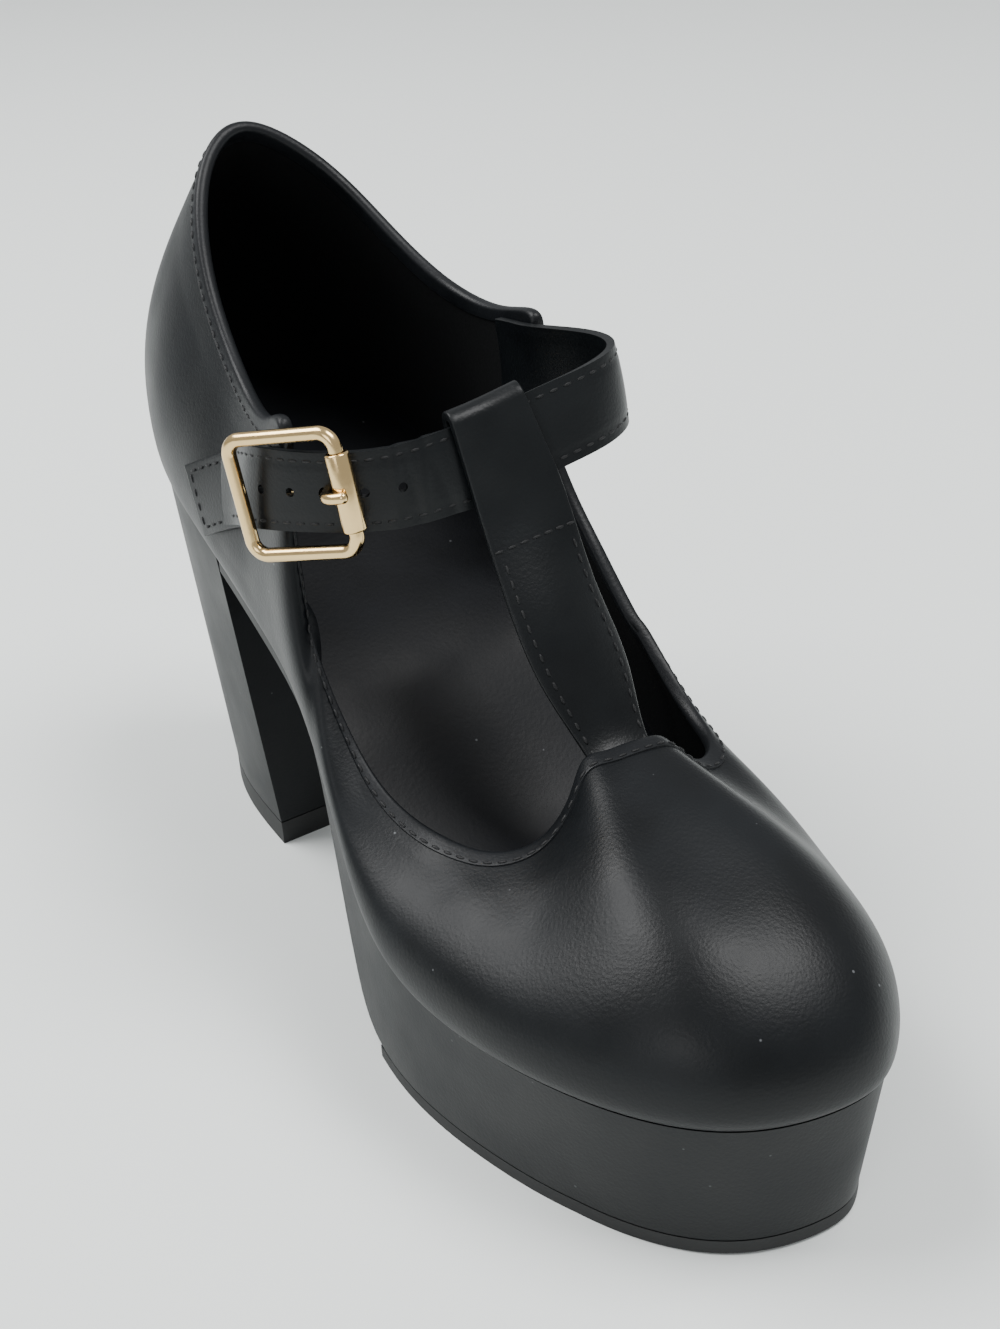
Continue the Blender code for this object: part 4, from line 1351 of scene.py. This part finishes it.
def wire(name, points, radii, cyclic, nodes):
    """A plated wire through points of the last's axes, thinned where the radii say so."""
    curve = bpy.data.curves.new(name, "CURVE")
    curve.dimensions = "3D"
    curve.bevel_depth = 1.0
    curve.bevel_resolution = WIRE_RESOLUTION
    curve.use_fill_caps = True
    curve.materials.append(BUCKLE_METAL)
    spline = curve.splines.new("POLY")
    spline.points.add(len(points) - 1)
    for spot, point, radius in zip(spline.points, points, radii):
        spot.co = (*(Vector(point) + SHIFT), 1)
        spot.radius = radius
    spline.use_cyclic_u = cyclic
    spline.use_smooth = True
    piece = put(name, curve)
    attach(piece, "root")
    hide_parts(*nodes)


def make_buckle():
    """The buckle's frame, drawn as one bent wire, and the roller on its front bar."""
    place_at = buckle_frame_matrix()
    outline = rounded_rectangle(BUCKLE_LONG, BUCKLE_TALL, BUCKLE_CORNER, steps=14)
    points = [place_at @ Vector(point) for point in outline]
    wire("buckle_bar_frame", points, [BAR] * len(points), True, ["buckle_frame"])
    half = ROLLER_LENGTH / 2
    slope = ROLLER_RIM * 0.3
    rim = [(ROLLER, half - ROLLER_RIM), (ROLLER - slope, half - slope)]
    rim += [(ROLLER - ROLLER_RIM, half), (BAR + GAP, half)]
    profile = [(x, -z) for x, z in reversed(rim)] + rim
    tube = bmesh.new()
    spots = [tube.verts.new((x, 0, z)) for x, z in profile]
    edges = [tube.edges.new(pair) for pair in zip(spots, spots[1:] + spots[:1])]
    bmesh.ops.spin(
        tube,
        geom=spots + edges,
        cent=(0, 0, 0),
        axis=(0, 0, 1),
        angle=2 * pi,
        steps=ROLLER_STEPS,
        use_merge=True,
    )
    weld(tube)
    bmesh.ops.recalc_face_normals(tube, faces=tube.faces)
    front_bar = Matrix.Translation((BUCKLE_LONG / 2, 0, 0)) @ Matrix.Rotation(-pi / 2, 4, "X")
    bmesh.ops.transform(tube, matrix=place_at @ front_bar, verts=tube.verts)
    finish("buckle_roller_tube", tube, [BUCKLE_METAL], ["buckle_roller"], sharp=80)


def make_prong():
    """The prong comes up through the strap and its rounded tip rests on the roller."""
    hole = prong_hole_spot()
    under = -(STRAP / 2 + GAP + PRONG)
    clear = ROLLER + GAP + PRONG
    bar = BUCKLE_LONG / 2
    place_at = buckle_frame_matrix()
    # Steps from the hole, and how deep the prong lies there as a share of its depth under the strap
    sunk = [(-0.0110, 1.0), (-0.0060, 1.0), (-0.0024, 1.0), (-0.0006, 0.45)]
    chosen = [strap_spot(hole + step, under * share) for step, share in sunk]
    # Arc over the roller, along and away from the shoe in the buckle's own axes
    raised = [
        (hole + 0.0008, -clear * 0.60),
        (bar - clear * 1.03, clear * 0.16),
        (bar - clear * 0.60, clear * 0.88),
        (bar, clear),
        (bar + PRONG_REACH, clear * 0.92),
    ]
    chosen += [place_at @ Vector((x, 0, z)) for x, z in raised]
    spans = run_lengths(np.array([point[:] for point in chosen]))
    route = smooth_line(spans, [point[:] for point in chosen])
    shoulder = spans[-1] - PRONG
    rounded = shoulder + PRONG * np.sin(np.linspace(0.15, pi / 2, PRONG_TIP_RUNS))
    at = np.concatenate([np.linspace(0, shoulder, PRONG_RUNS), rounded])
    tip = np.clip((at - shoulder) / PRONG, 0, 1)
    radii = PRONG * PRONG_FULLNESS * np.sqrt(np.clip(1 - tip**2, 0.0009, 1))
    wire("buckle_prong_wire", route(at), radii, False, ["buckle_prong"])


def studio():
    """A pale floor, two wide soft lamps above, a weaker one at the side and a bright room."""
    floor = bmesh.new()
    bmesh.ops.create_grid(floor, x_segments=1, y_segments=1, size=FLOOR_HALF)
    mesh = bpy.data.meshes.new("floor")
    floor.to_mesh(mesh)
    floor.free()
    made, tree, shader, spot = start_material("pale_floor", "eef2f0", roughness=0.8)
    haze = noise(tree, spot, size=1 / 3, detail=2.0)
    dull = ranged(tree, haze, 0.0, 1.0, 0.7, 0.8)
    tree.links.new(dull, shader.inputs["Roughness"])
    mesh.materials.append(made)
    put("floor", mesh)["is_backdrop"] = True
    world = bpy.data.worlds.new("studio")
    world.use_nodes = True
    room = world.node_tree.nodes["Background"]
    room.inputs["Color"].default_value = linear("eceef0")
    room.inputs["Strength"].default_value = ROOM_STRENGTH
    bpy.context.scene.world = world
    for lamp in LAMPS:
        data = bpy.data.lights.new(lamp.name, "AREA")
        data.size = lamp.size
        data.energy = lamp.power
        hung = put(lamp.name, data)
        hung.location = lamp.place
        hung.rotation_euler = (-Vector(lamp.place)).to_track_quat("-Z", "Y").to_euler()


def make_camera():
    """The camera at the photo's angle."""
    forward = Vector(CAMERA_AIM).normalized()
    level = forward.cross(Vector((0, 0, 1))).normalized()
    upright = level.cross(forward)
    roll = radians(CAMERA_ROLL)
    right = level * cos(roll) + upright * sin(roll)
    up = upright * cos(roll) - level * sin(roll)
    data = bpy.data.cameras.new("camera")
    data.lens = LENS
    data.sensor_width = 36
    data.clip_start = 0.01
    camera = put("camera", data)
    turn = Matrix((right, up, -forward)).transposed().to_4x4()
    camera.matrix_world = Matrix.Translation(Vector(CAMERA_PLACE) + SHIFT) @ turn
    bpy.context.scene.camera = camera


def write_sizes():
    """Works out the boxes of the solids and of the finished pieces, and keeps them nowhere."""
    boxes = {"cad": cad_box, "visual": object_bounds()}
    {name: [list(corner) for corner in box] for name, box in boxes.items()}


make_camera()
studio()
make_upper()
make_edge_fold()
make_insole()
make_platform()
make_outsole()
make_heel()
make_heel_seam()
make_ankle_strap()
make_t_strap()
tab_rows = make_buckle_tab()
make_buckle()
make_prong()
make_stitches("opening_stitches", [fold_seam()])
make_stitches("lap_stitches", [lap_seam(shift) for shift in LAP_SEAMS])
make_stitches("ankle_strap_stitches", [ankle_seam(-1), ankle_seam(1)])
make_stitches("t_strap_stitches", [t_seam(-1), t_seam(1), loop_seam()])
make_stitches("tab_stitches", tab_rows)
write_sizes()
